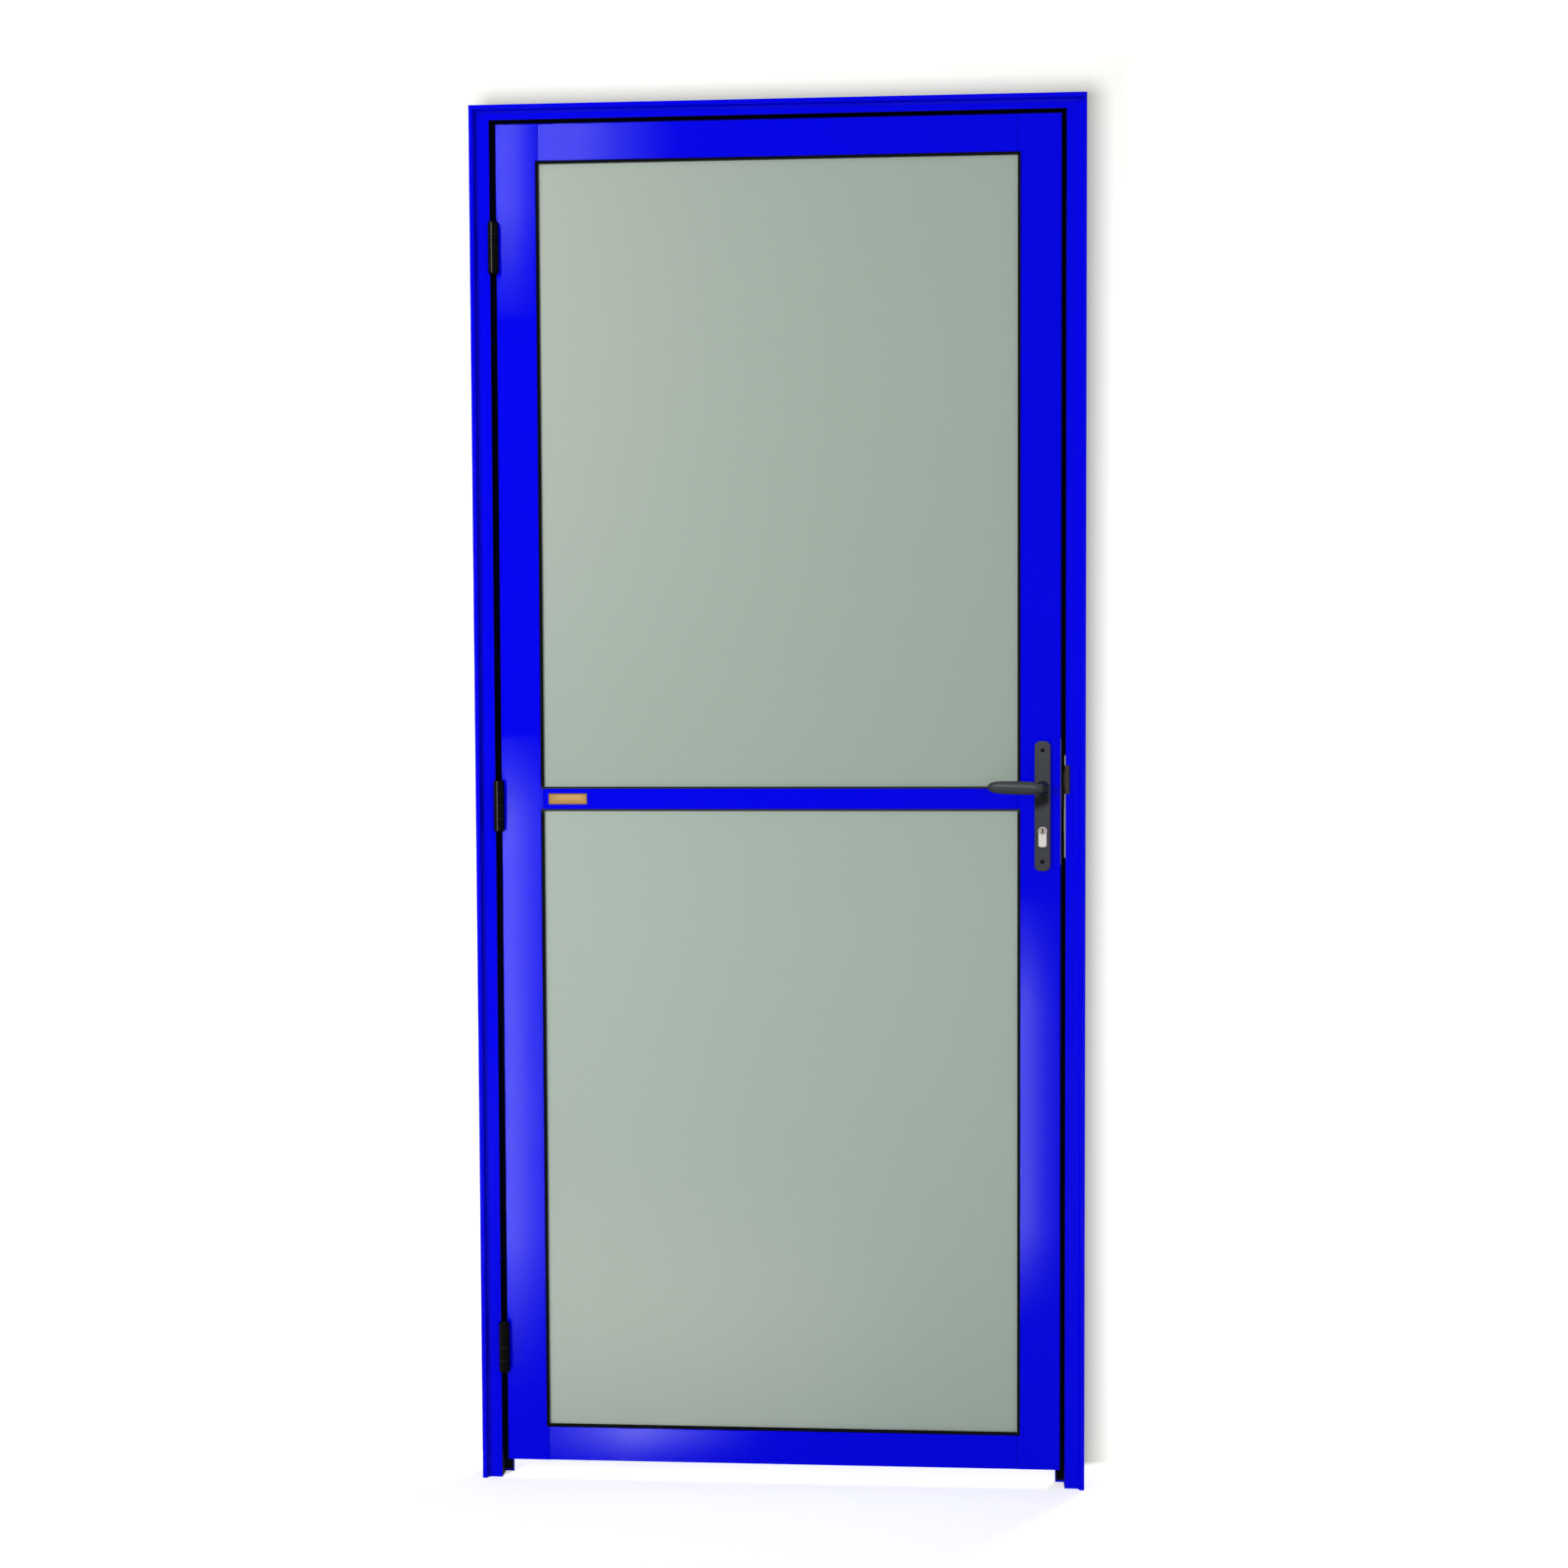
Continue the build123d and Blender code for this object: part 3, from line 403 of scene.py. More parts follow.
def rubberMaterial():
    material, tree, shader = startMaterial("rubber", rubber["colour"])
    grain = useGroup(tree, fineGrain, Scale=2500.0, Detail=3.0, Cloud_Scale=25.0)
    edge = useGroup(tree, softEdge, Radius=0.0004, Wear=0.6, Scale=120.0)
    # painted light: the strips along the middle rail are painted a lighter grey, as if lit
    reach = rubber["railReach"]
    railLitMask = between(tree, objectPlace(tree)["Z"], midLow.z - reach, midHigh.z + reach)
    skin = blendColour(tree, railLitMask, rgba(rubber["colour"]), rgba(rubber["paintedLitGrey"]))
    colour = blendColour(tree, edge["Mask"], skin, rgba(rubber["wearAndSheen"]))
    feed(tree, colour, shader.inputs["Base Color"])
    rough = unevenRoughness(tree, grain["Cloud"], rubber["roughness"], rubber["unevenness"])
    feed(tree, rough, shader.inputs["Roughness"])
    shader.inputs["Specular IOR Level"].default_value = rubber["specular"]
    bumps = bumpOn(tree, grain["Height"], rubber["grainDepth"], edge["Normal"])
    feed(tree, bumps, shader.inputs["Normal"])
    return material


rubberSkin = rubberMaterial()

# frosted glass

glass = {
    "colour": (0.345, 0.43, 0.37),
    "cloudColour": (0.355, 0.44, 0.38),
    "roughness": 0.5,
    "unevenness": 0.06,
    "transmission": 0.3,
    "specular": 0.5,
    "bending": 1.5,
    "frostScale": 2200.0,
    "frostDepth": 0.00002,
}


def glassMaterial():
    material, tree, shader = startMaterial("frostedGlass", glass["colour"])
    frost = useGroup(tree, fineGrain, Scale=glass["frostScale"], Detail=2.0, Cloud_Scale=3.0)
    body = blendColour(tree, frost["Cloud"], rgba(glass["colour"]), rgba(glass["cloudColour"]))
    feed(tree, body, shader.inputs["Base Color"])
    rough = unevenRoughness(tree, frost["Height"], glass["roughness"], glass["unevenness"])
    feed(tree, rough, shader.inputs["Roughness"])
    shader.inputs["Transmission Weight"].default_value = glass["transmission"]
    shader.inputs["Specular IOR Level"].default_value = glass["specular"]
    shader.inputs["IOR"].default_value = glass["bending"]
    feed(tree, bumpOn(tree, frost["Height"], glass["frostDepth"]), shader.inputs["Normal"])
    return material


frostedGlass = glassMaterial()
print("rubber and glass mixed")

# metals

darkMetal = {"colour": (0.018, 0.0195, 0.0215), "wearAndSheen": (0.05, 0.052, 0.055),
    "roughness": 0.42, "specular": 0.06}
# the plate screws are painted near black: painted shade for the dark of their holes
screwHoleShade = {"colour": (0.001, 0.001, 0.001), "wearAndSheen": (0.006, 0.005, 0.004),
    "roughness": 0.5, "specular": 0.03}
hingeMetal = {"colour": (0.0012, 0.0012, 0.001), "wearAndSheen": (0.009, 0.008, 0.007),
    "roughness": 0.2, "specular": 0.035}
steel = {"colour": (0.55, 0.53, 0.49), "dull": (0.30, 0.29, 0.27), "roughness": 0.34}
# painted shade and a painted highlight for the strike's lip
lipPaintedShade = {"colour": (0.010, 0.008, 0.006), "middle": (0.045, 0.034, 0.027)}
nickel = {"colour": (0.70, 0.67, 0.64), "dull": (0.5, 0.47, 0.44), "roughness": 0.3}
lockSteel = {"colour": (0.22, 0.205, 0.185), "dull": (0.12, 0.11, 0.10), "roughness": 0.4}
brass = {"colour": (0.52, 0.32, 0.115), "dull": (0.33, 0.18, 0.06), "roughness": 0.38}

coatGrain = {"scale": 1600.0, "cloudScale": 40.0, "cloudShade": 1.15, "unevenness": 0.06,
    "depth": 0.00003}


def coatedMetal(name, coat, edgeRadius):
    material, tree, shader = startMaterial(name, coat["colour"])
    scale, cloudScale = coatGrain["scale"], coatGrain["cloudScale"]
    grain = useGroup(tree, fineGrain, Scale=scale, Detail=2.0, Cloud_Scale=cloudScale)
    edge = useGroup(tree, softEdge, Radius=edgeRadius, Wear=0.7, Scale=150.0)
    lighter = tuple(coatGrain["cloudShade"] * c for c in coat["colour"])
    body = blendColour(tree, grain["Cloud"], rgba(coat["colour"]), rgba(lighter))
    feed(tree, blendColour(tree, edge["Mask"], body, rgba(coat["wearAndSheen"])), shader.inputs["Base Color"])
    rough = unevenRoughness(tree, grain["Cloud"], coat["roughness"], coatGrain["unevenness"])
    feed(tree, rough, shader.inputs["Roughness"])
    shader.inputs["Specular IOR Level"].default_value = coat["specular"]
    bumps = bumpOn(tree, grain["Height"], coatGrain["depth"], edge["Normal"])
    feed(tree, bumps, shader.inputs["Normal"])
    return material


brush = {"edgeRadius": 0.0003, "smoother": 0.08, "rougher": 0.12, "depth": 0.00001}


def bareMetal(name, metal, alongX=0.0):
    material, tree, shader = startMaterial(name, metal["colour"])
    scratches = useGroup(tree, brushed, Along_X=alongX)
    edge = useGroup(tree, softEdge, Radius=brush["edgeRadius"], Wear=0.8, Scale=200.0)
    body = blendColour(tree, scratches["Height"], rgba(metal["dull"]), rgba(metal["colour"]))
    feed(tree, blendColour(tree, edge["Mask"], body, rgba(metal["dull"])), shader.inputs["Base Color"])
    shader.inputs["Metallic"].default_value = 1
    rough = unevenRoughness(tree, scratches["Height"], metal["roughness"], brush["smoother"],
        brush["rougher"])
    feed(tree, rough, shader.inputs["Roughness"])
    bumps = bumpOn(tree, scratches["Height"], brush["depth"], edge["Normal"])
    feed(tree, bumps, shader.inputs["Normal"])
    return material, tree, shader, body


spindleLow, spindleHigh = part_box("spindle")
leverX = (spindleLow.x + spindleHigh.x) / 2
leverZ = (spindleLow.z + spindleHigh.z) / 2
# painted shade on the lever's neck and elbow
leverPaintedShade = {
    "colour": (0.003, 0.003, 0.003),
    "reach": 0.0695,  # from the leaf's middle plane
    "fade": 0.008,
    "side": 0.014,
    "elbow": 0.003,
    "elbowFade": 0.0035,
}


def leverMaterial():
    # painted shade: black on the neck behind the bar, and on the elbow's outer side, which turns away
    # from the light
    material = coatedMetal("leverFinishAndShade", darkMetal, edgeRadius=0.0008)
    tree = material.node_tree
    shader = tree.nodes["Principled BSDF"]
    coat = shader.inputs["Base Color"].links[0].from_socket
    middle = (lockLow.y + lockHigh.y) / 2
    xyz = objectPlace(tree)
    away = calc(tree, "ABSOLUTE", calc(tree, "SUBTRACT", xyz["Y"], middle))
    near = calc(tree, "SUBTRACT", leverPaintedShade["reach"], away)
    behind = calc(tree, "DIVIDE", near, leverPaintedShade["fade"], clamp=True)
    aside = rampUp(tree, xyz["X"], leverX - leverPaintedShade["side"], leverPaintedShade["fade"])
    outside = rampUp(tree, xyz["X"], leverX - leverPaintedShade["elbow"], leverPaintedShade["elbowFade"])
    neck = calc(tree, "MAXIMUM", calc(tree, "MULTIPLY", behind, aside), outside)
    feed(tree, blendColour(tree, neck, coat, rgba(leverPaintedShade["colour"])), shader.inputs["Base Color"])
    return material


leverFinishAndShade = leverMaterial()
plateFinish = coatedMetal("plateFinish", darkMetal, edgeRadius=0.0012)
# near-black screws, painted shade for their holes
screwHoleShadeFinish = coatedMetal("screwHoleShadeFinish", screwHoleShade, edgeRadius=0.0003)
hingeFinish = coatedMetal("hingeFinish", hingeMetal, edgeRadius=0.0005)
steelFinish = bareMetal("steelFinish", steel)[0]
forendFinish = bareMetal("forendFinish", lockSteel)[0]

plugLow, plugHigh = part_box("front_key_plug")
cylinderMarks = {
    "lineHalfWidth": 0.00035,
    "lineFade": 0.0002,
    "slotHalfWidth": 0.0013,
    "slotFade": 0.0003,
    "slotReach": 0.72,
    "dark": (0.02, 0.017, 0.013),
    "warm": (0.45, 0.36, 0.26),
    "warmShare": 0.55,
}


def cylinderMaterial():
    # a dark line where the plug turns in the body, and painted shade in the keyhole's slot
    material, tree, shader, body = bareMetal("cylinderFinish", nickel)
    xyz = objectPlace(tree)
    middleX = (plugLow.x + plugHigh.x) / 2
    middleZ = (plugLow.z + plugHigh.z) / 2
    radius = (plugHigh.x - plugLow.x) / 2
    flat = addNode(tree, "ShaderNodeCombineXYZ")
    feed(tree, calc(tree, "SUBTRACT", xyz["X"], middleX), flat.inputs["X"])
    feed(tree, calc(tree, "SUBTRACT", xyz["Z"], middleZ), flat.inputs["Y"])
    length = addNode(tree, "ShaderNodeVectorMath", operation="LENGTH")
    feed(tree, flat.outputs[0], length.inputs[0])
    away = length.outputs["Value"]
    line = useGroup(tree, band, Value=away, Middle=radius,
        Half_Width=cylinderMarks["lineHalfWidth"], Fade=cylinderMarks["lineFade"])["Mask"]
    slot = useGroup(tree, band, Value=xyz["X"], Middle=middleX,
        Half_Width=cylinderMarks["slotHalfWidth"], Fade=cylinderMarks["slotFade"])["Mask"]
    near = calc(tree, "LESS_THAN", away, radius * cylinderMarks["slotReach"])
    # painted shade in the keyhole's slot
    keyholeShade = calc(tree, "MULTIPLY", slot, near)
    warm = calc(tree, "MULTIPLY", calc(tree, "LESS_THAN", away, radius), cylinderMarks["warmShare"])
    warmed = blendColour(tree, warm, body, rgba(cylinderMarks["warm"]))
    dark = calc(tree, "MAXIMUM", line, keyholeShade)
    colour = blendColour(tree, dark, warmed, rgba(cylinderMarks["dark"]))
    feed(tree, colour, shader.inputs["Base Color"])
    return material


labelLook = {
    "rimWidth": 0.002,
    "rimFade": 0.0006,
    "rimColour": (0.20, 0.11, 0.04),
    "paleColour": (0.69, 0.425, 0.155),
    "paleShare": 0.5,
    "paleX": (0.018, 0.012),  # how far in from the left and the right end
    "paleZ": (0.009, 0.004),  # and from the lower and the upper edge
    "paleFade": (0.012, 0.004),
}


def labelMaterial():
    # bare brass: a darker rim, paler above the middle
    material, tree, shader, body = bareMetal("brassFinish", brass, alongX=1.0)
    xyz = objectPlace(tree)
    low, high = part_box("label_plate")
    rim, fade = labelLook["rimWidth"], labelLook["rimFade"]
    insideX = between(tree, xyz["X"], low.x + rim, high.x - rim, fade)
    insideZ = between(tree, xyz["Z"], low.z + rim, high.z - rim, fade)
    inside = calc(tree, "MULTIPLY", insideX, insideZ)
    (left, right), (under, over) = labelLook["paleX"], labelLook["paleZ"]
    fadeX, fadeZ = labelLook["paleFade"]
    paleX = between(tree, xyz["X"], low.x + left, high.x - right, fadeX)
    paleZ = between(tree, xyz["Z"], low.z + under, high.z - over, fadeZ)
    pale = calc(tree, "MULTIPLY", calc(tree, "MULTIPLY", paleX, paleZ), labelLook["paleShare"])
    middle = blendColour(tree, pale, body, rgba(labelLook["paleColour"]))
    rimmed = blendColour(tree, inside, rgba(labelLook["rimColour"]), middle)
    feed(tree, rimmed, shader.inputs["Base Color"])
    return material


# the strike's lip is painted shade, with a painted highlight band set in from its outer end
strikeLip = {
    "frontDepth": 0.0022,
    "highlightFrom": 0.0052,
    "highlightTo": 0.0032,
    "highlightFade": 0.0010,
    "specular": 0.15,
}


def strikeMaterial():
    # bright plate in the gap; where its lip folds over the jamb's face, painted shade in dark bronze,
    # with a painted highlight band down its middle
    material, tree, shader, body = bareMetal("strikeFinish", steel)
    xyz = objectPlace(tree)
    low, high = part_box("strike_plate")
    front = calc(tree, "LESS_THAN", xyz["Y"], strikeLip["frontDepth"])
    wearAndSheen = between(tree, xyz["X"], high.x - strikeLip["highlightFrom"], high.x - strikeLip["highlightTo"],
        strikeLip["highlightFade"])
    lipShade = blendColour(tree, wearAndSheen, rgba(lipPaintedShade["colour"]), rgba(lipPaintedShade["middle"]))
    feed(tree, blendColour(tree, front, body, lipShade), shader.inputs["Base Color"])
    feed(tree, calc(tree, "SUBTRACT", 1.0, front), shader.inputs["Metallic"])
    shader.inputs["Specular IOR Level"].default_value = strikeLip["specular"]
    return material


cylinderFinish = cylinderMaterial()
brassFinish = labelMaterial()
strikeFinish = strikeMaterial()
print("metals mixed")

hingeWings = [f"{level}_hinge_{side}_wing" for level in levels for side in ("frame", "leaf")]
finishes = {
    "framePaint": (framePaint, ["hinge_jamb", "lock_jamb", "head"]),
    "leafPaint": (leafPaint, ["hinge_stile", "lock_stile", "top_rail", "mid_rail", "bottom_rail"]),
    "beadPaint": (beadPaint, ["upper_glazing_beads", "lower_glazing_beads"]),
    "rubber": (rubberSkin, ["hinge_stop_gasket", "lock_stop_gasket", "head_stop_gasket",
        "upper_front_gasket", "lower_front_gasket", "upper_rear_gasket", "lower_rear_gasket"]),
    "glass": (frostedGlass, ["upper_glass", "lower_glass"]),
    "hinges": (hingeFinish, hingeWings),
    "plates": (plateFinish, ["front_backplate", "rear_backplate"]),
    "levers": (leverFinishAndShade, ["front_lever", "rear_lever"]),
    "steel": (steelFinish, ["hinge_pins", "frame_wing_screws", "leaf_wing_screws", "strike_screws",
        "lock_case", "forend_screws", "spindle"]),
    "forend": (forendFinish, ["forend", "latch_bolt", "dead_bolt"]),
    "screws": (screwHoleShadeFinish, ["plate_screws"]),
    "strike": (strikeFinish, ["strike_plate"]),
    "cylinder": (cylinderFinish, ["cylinder_body", "front_key_plug", "rear_key_plug"]),
    "brass": (brassFinish, ["label_plate"]),
}
for material, names in finishes.values():
    for name in names:
        node = nodes[name]
        node.data.materials.clear()
        node.data.materials.append(material)
print("finishes given to", sum(len(names) for material, names in finishes.values()), "nodes")

# new pieces


def finishPiece(name, mesh, material, body, smoothAngle=35):
    # normals point outwards, and the place stays in the mesh
    bmesh.ops.remove_doubles(mesh, verts=mesh.verts, dist=0.000005)
    bmesh.ops.recalc_face_normals(mesh, faces=mesh.faces)
    data = bpy.data.meshes.new(name)
    mesh.to_mesh(data)
    mesh.free()
    data.shade_smooth()
    data.set_sharp_from_angle(angle=math.radians(smoothAngle))
    data.materials.append(material)
    piece = bpy.data.objects.new(name, data)
    bpy.context.scene.collection.objects.link(piece)
    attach(piece, body)
    return piece


# millimetres, as in the other dictionaries of new pieces
leverShape = {
    "sides": 32,
    "neckRadius": 7.9,
    "bendRadius": 13.0,
    "bendSteps": 10,
    "barDepth": 54.0,
    "tilt": 1.6,
    "rootGap": 0.4,
    "rootLength": 12.0,
    "tiltedPast": 13.0,
    # distance from the spindle, half height and half depth of the bar's sections
    "bar": ((14, 9.8, 7.7), (20, 10.3, 7.7), (34, 10.3, 7.6), (50, 10.2, 7.3), (64, 9.8, 7.0),
        (72, 9.2, 6.6), (77.5, 8.0, 5.9), (81.5, 6.0, 4.8), (84, 3.6, 3.2), (84.9, 1.4, 1.4)),
}


def extrudeRing(mesh, ring):
    grown = bmesh.ops.extrude_edge_only(mesh, edges=ring)["geom"]
    verts = [g for g in grown if isinstance(g, bmesh.types.BMVert)]
    edges = [g for g in grown if isinstance(g, bmesh.types.BMEdge)]
    return verts, [e for e in edges if all(v in verts for v in e.verts)]


def makeLever(name, seatY, outward):
    # one round bar: out of the backplate, round the elbow, and along to a blunt tip
    mesh = bmesh.new()
    radius = leverShape["neckRadius"] / 1000
    bend = leverShape["bendRadius"] / 1000
    bendY = seatY + outward * (leverShape["barDepth"] / 1000 - bend)
    start = bmesh.ops.create_circle(mesh, cap_ends=True, segments=leverShape["sides"],
        radius=radius)["verts"]
    bmesh.ops.rotate(mesh, verts=start, matrix=Matrix.Rotation(math.pi / 2, 3, "X"))
    rootGap = leverShape["rootGap"] / 1000
    rootLength = leverShape["rootLength"] / 1000
    bmesh.ops.translate(mesh, verts=start, vec=(leverX, seatY + outward * rootGap, leverZ))
    ring = list(mesh.edges)
    for y in (seatY + outward * rootLength, bendY):
        verts, ring = extrudeRing(mesh, ring)
        bmesh.ops.translate(mesh, verts=verts, vec=(0, y - verts[0].co.y, 0))
    elbow = (leverX - bend, bendY, leverZ)
    turned = bmesh.ops.spin(mesh, geom=ring + verts, cent=elbow, axis=(0, 0, 1),
        angle=outward * math.pi / 2, steps=leverShape["bendSteps"], use_merge=False)["geom_last"]
    verts = [g for g in turned if isinstance(g, bmesh.types.BMVert)]
    ring = [g for g in turned if isinstance(g, bmesh.types.BMEdge)]
    halfHeight = radius
    halfDepth = radius
    barY = seatY + outward * leverShape["barDepth"] / 1000
    for reach, height, depth in leverShape["bar"]:
        verts, ring = extrudeRing(mesh, ring)
        bmesh.ops.translate(mesh, verts=verts, vec=(leverX - reach / 1000 - verts[0].co.x, 0, 0))
        about = Matrix.Translation((0, -barY, -leverZ))
        factors = (1, depth / 1000 / halfDepth, height / 1000 / halfHeight)
        bmesh.ops.scale(mesh, verts=verts, vec=factors, space=about)
        halfHeight = height / 1000
        halfDepth = depth / 1000
    bmesh.ops.contextual_create(mesh, geom=ring)
    bar = [v for v in mesh.verts if abs(v.co.y - seatY) > leverShape["tiltedPast"] / 1000]
    tilt = Matrix.Rotation(math.radians(leverShape["tilt"]), 3, "Y")
    bmesh.ops.rotate(mesh, verts=bar, cent=(leverX, 0, leverZ), matrix=tilt)
    piece = finishPiece(name, mesh, leverFinishAndShade, "levers", smoothAngle=60)
    smooth = piece.modifiers.new("smooth", "SUBSURF")
    smooth.levels = 1
    smooth.render_levels = 1
    return piece


frontLever = makeLever("frontLeverBar", 0.0, -1)
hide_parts("front_lever")
rearLever = makeLever("rearLeverBar", stileHigh.y, 1)
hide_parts("rear_lever")

bushShape = {"inner": 8.25, "outer": 10.2, "proud": 2.4, "edge": 0.6, "edgeShare": 0.3, "steps": 40}
# its black is partly painted shade round the lever's root
bushNylonAndShade = {"colour": (0.003, 0.003, 0.003), "wearAndSheen": (0.01, 0.01, 0.01),
    "roughness": 0.5, "specular": 0.06}
bushFinishAndShade = coatedMetal("bushFinishAndShade", bushNylonAndShade, edgeRadius=0.0004)


def makeBush(name, plateY, outward):
    # black nylon ring in which the lever's neck turns; its black also stands in for the shade round
    # the neck's root
    mesh = bmesh.new()
    inner, outer = bushShape["inner"] / 1000, bushShape["outer"] / 1000
    proud, edge = bushShape["proud"] / 1000, bushShape["edge"] / 1000
    corner = edge * bushShape["edgeShare"]
    points = [(inner, 0.0), (outer, 0.0), (outer, proud - edge), (outer - corner, proud - corner),
        (outer - edge, proud), (inner, proud)]
    verts = [mesh.verts.new((leverX + r, plateY + outward * y, leverZ)) for r, y in points]
    edges = [mesh.edges.new(pair) for pair in zip(verts, verts[1:] + verts[:1])]
    bmesh.ops.spin(mesh, geom=verts + edges, cent=(leverX, plateY, leverZ), axis=(0, 1, 0),
        angle=math.tau, steps=bushShape["steps"], use_merge=True)
    return finishPiece(name, mesh, bushFinishAndShade, "leaf")


frontBush = makeBush("frontNeckBush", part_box("front_backplate")[0].y, -1)
rearBush = makeBush("rearNeckBush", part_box("rear_backplate")[1].y, 1)
print("levers and their bushes made")

pinShape = {
    "headSteps": 24,
    "headRadius": 2.35,
    "dome": 0.45,
    # the dome's section: shares of the radius and of the height, from the top down
    "profile": ((0, 1), (0.45, 0.9), (0.8, 0.55), (1, 0.1)),
    "foot": 0.02,
    "sunk": 0.6,
    "washerSteps": 32,
    "washerRadius": 8.2,
    "washerHole": 2.7,
    "washerThickness": 0.26,
    "knuckles": 4,
    "gap": 0.4,
}
pinLow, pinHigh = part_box("hinge_pins")
pinX = (pinLow.x + pinHigh.x) / 2
pinY = (pinLow.y + pinHigh.y) / 2


def ringProfile(mesh, points):
    verts = [mesh.verts.new((pinX + r / 1000, pinY, z)) for r, z in points]
    return [mesh.edges.new(pair) for pair in zip(verts, verts[1:])]


def spinRound(mesh, edges, steps):
    verts = list(dict.fromkeys(v for e in edges for v in e.verts))
    bmesh.ops.spin(mesh, geom=verts + edges, cent=(pinX, pinY, 0), axis=(0, 0, 1),
        angle=math.tau, steps=steps, use_merge=True)


def makePinHead(name, faceZ, up):
    # domed end of a hinge pin, sunk in the knuckle's end
    mesh = bmesh.new()
    radius = pinShape["headRadius"]
    dome = pinShape["dome"] / 1000
    footZ = faceZ + up * pinShape["foot"] / 1000
    points = [(radius * out, faceZ + up * dome * height) for out, height in pinShape["profile"]]
    points += [(radius, footZ), (0, footZ)]
    spinRound(mesh, ringProfile(mesh, points), pinShape["headSteps"])
    return finishPiece(name, mesh, steelFinish, "frame", smoothAngle=50)


washerNylon = {"colour": (0.05, 0.047, 0.042), "wearAndSheen": (0.09, 0.085, 0.08),
    "roughness": 0.5, "specular": 0.2}
washerFinish = coatedMetal("washerFinish", washerNylon, edgeRadius=0.0002)


def makeWasher(name, middleZ):
    # thin nylon ring that keeps two knuckles apart
    mesh = bmesh.new()
    half = pinShape["washerThickness"] / 2000
    low, high = middleZ - half, middleZ + half
    inner, outer = pinShape["washerHole"], pinShape["washerRadius"]
    points = [(inner, low), (outer, low), (outer, high), (inner, high)]
    edges = ringProfile(mesh, points)
    edges.append(mesh.edges.new((edges[-1].verts[1], edges[0].verts[0])))
    spinRound(mesh, edges, pinShape["washerSteps"])
    return finishPiece(name, mesh, washerFinish, "frame", smoothAngle=40)


for level in levels:
    low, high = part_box(f"{level}_hinge_frame_wing")
    sunk = pinShape["sunk"] / 1000
    makePinHead(f"{level}PinTop", high.z - sunk, 1)
    makePinHead(f"{level}PinFoot", low.z + sunk, -1)
    gap = pinShape["gap"] / 1000
    pitch = (high.z - low.z + gap) / pinShape["knuckles"]
    for i in range(1, pinShape["knuckles"]):
        makeWasher(f"{level}Washer{i}", low.z + pitch * i - gap / 2)
print("hinge pins and washers made")

# camera at the photograph's place

view = {"place": (0.7495, -3.6344, 1.2840), "turn": (87.135, 0.244, 4.177), "lens": 54.0}
cameraData = bpy.data.cameras.new("camera")
cameraData.lens = view["lens"]
cameraData.sensor_width = 36
camera = bpy.data.objects.new("camera", cameraData)
camera.location = view["place"]
camera.rotation_euler = [math.radians(a) for a in view["turn"]]
bpy.context.scene.collection.objects.link(camera)
bpy.context.scene.camera = camera

# floor and backdrop, seen from their front only

cadMiddle = (Vector(cadBox[0]) + Vector(cadBox[1])) / 2
cadHalf = (Vector(cadBox[1]) - Vector(cadBox[0])) / 2
stageSizes = {
    "wallY": 0.10,
    "wallX": (-5.0, 6.0),
    "wallTop": 6.0,
    "floorX": (-9.0, 10.0),
    "floorY": (-9.0, 6.0),
}
stageLooks = {
    "wallWhite": {"albedo": 0.22, "glow": 0.38, "fadeStart": 0.06, "fadeWidth": 0.2,
        "tint": (1.0, 1.0, 0.87)},
    "floorWhite": {"albedo": 0.7, "glow": 0.54, "fadeStart": 0.6, "fadeWidth": 1.2},
}
wallFoot = 0.01  # height over which the wall turns white at the floor


def seenDirectly(tree):
    # 1 for what the camera sees, by itself or through a mirror or a pane
    rays = addNode(tree, "ShaderNodeLightPath").outputs
    bounced = calc(tree, "MAXIMUM", rays["Is Glossy Ray"], rays["Is Transmission Ray"])
    return calc(tree, "MAXIMUM", rays["Is Camera Ray"], bounced)


def stageMaterial(name, albedo, glow, fadeStart, fadeWidth, tint=None):
    # its own light fills up to plain white away from the door, where no shadow falls
    material = bpy.data.materials.new(name)
    material.use_nodes = True
    tree = material.node_tree
    tree.nodes.clear()
    diffuse = addNode(tree, "ShaderNodeBsdfDiffuse")
    diffuse.inputs["Color"].default_value = (albedo, albedo, albedo, 1)
    light = addNode(tree, "ShaderNodeEmission")
    xyz = objectPlace(tree)
    out = []
    for i, axis in enumerate("XYZ"):
        away = calc(tree, "ABSOLUTE", calc(tree, "SUBTRACT", xyz[axis], cadMiddle[i]))
        out.append(calc(tree, "SUBTRACT", away, cadHalf[i]))
    furthest = calc(tree, "MAXIMUM", calc(tree, "MAXIMUM", *out[:2]), out[2])
    far = rampUp(tree, furthest, fadeStart, fadeWidth)
    if tint:
        # the wall also turns white just above the floor
        foot = calc(tree, "SUBTRACT", 1.0, calc(tree, "DIVIDE", xyz["Z"], wallFoot), clamp=True)
        far = calc(tree, "MAXIMUM", far, foot)
        feed(tree, blendColour(tree, far, rgba(tint), (1, 1, 1, 1)), light.inputs["Color"])
    strength = calc(tree, "MULTIPLY", seenDirectly(tree), blendValue(tree, far, glow, 1.0))
    feed(tree, strength, light.inputs["Strength"])
    both = addNode(tree, "ShaderNodeAddShader")
    feed(tree, diffuse.outputs[0], both.inputs[0])
    feed(tree, light.outputs[0], both.inputs[1])
    clear = addNode(tree, "ShaderNodeBsdfTransparent")
    oneSided = addNode(tree, "ShaderNodeMixShader")
    feed(tree, addNode(tree, "ShaderNodeNewGeometry").outputs["Backfacing"], oneSided.inputs[0])
    feed(tree, both.outputs[0], oneSided.inputs[1])
    feed(tree, clear.outputs[0], oneSided.inputs[2])
    feed(tree, oneSided.outputs[0], addNode(tree, "ShaderNodeOutputMaterial").inputs["Surface"])
    return material


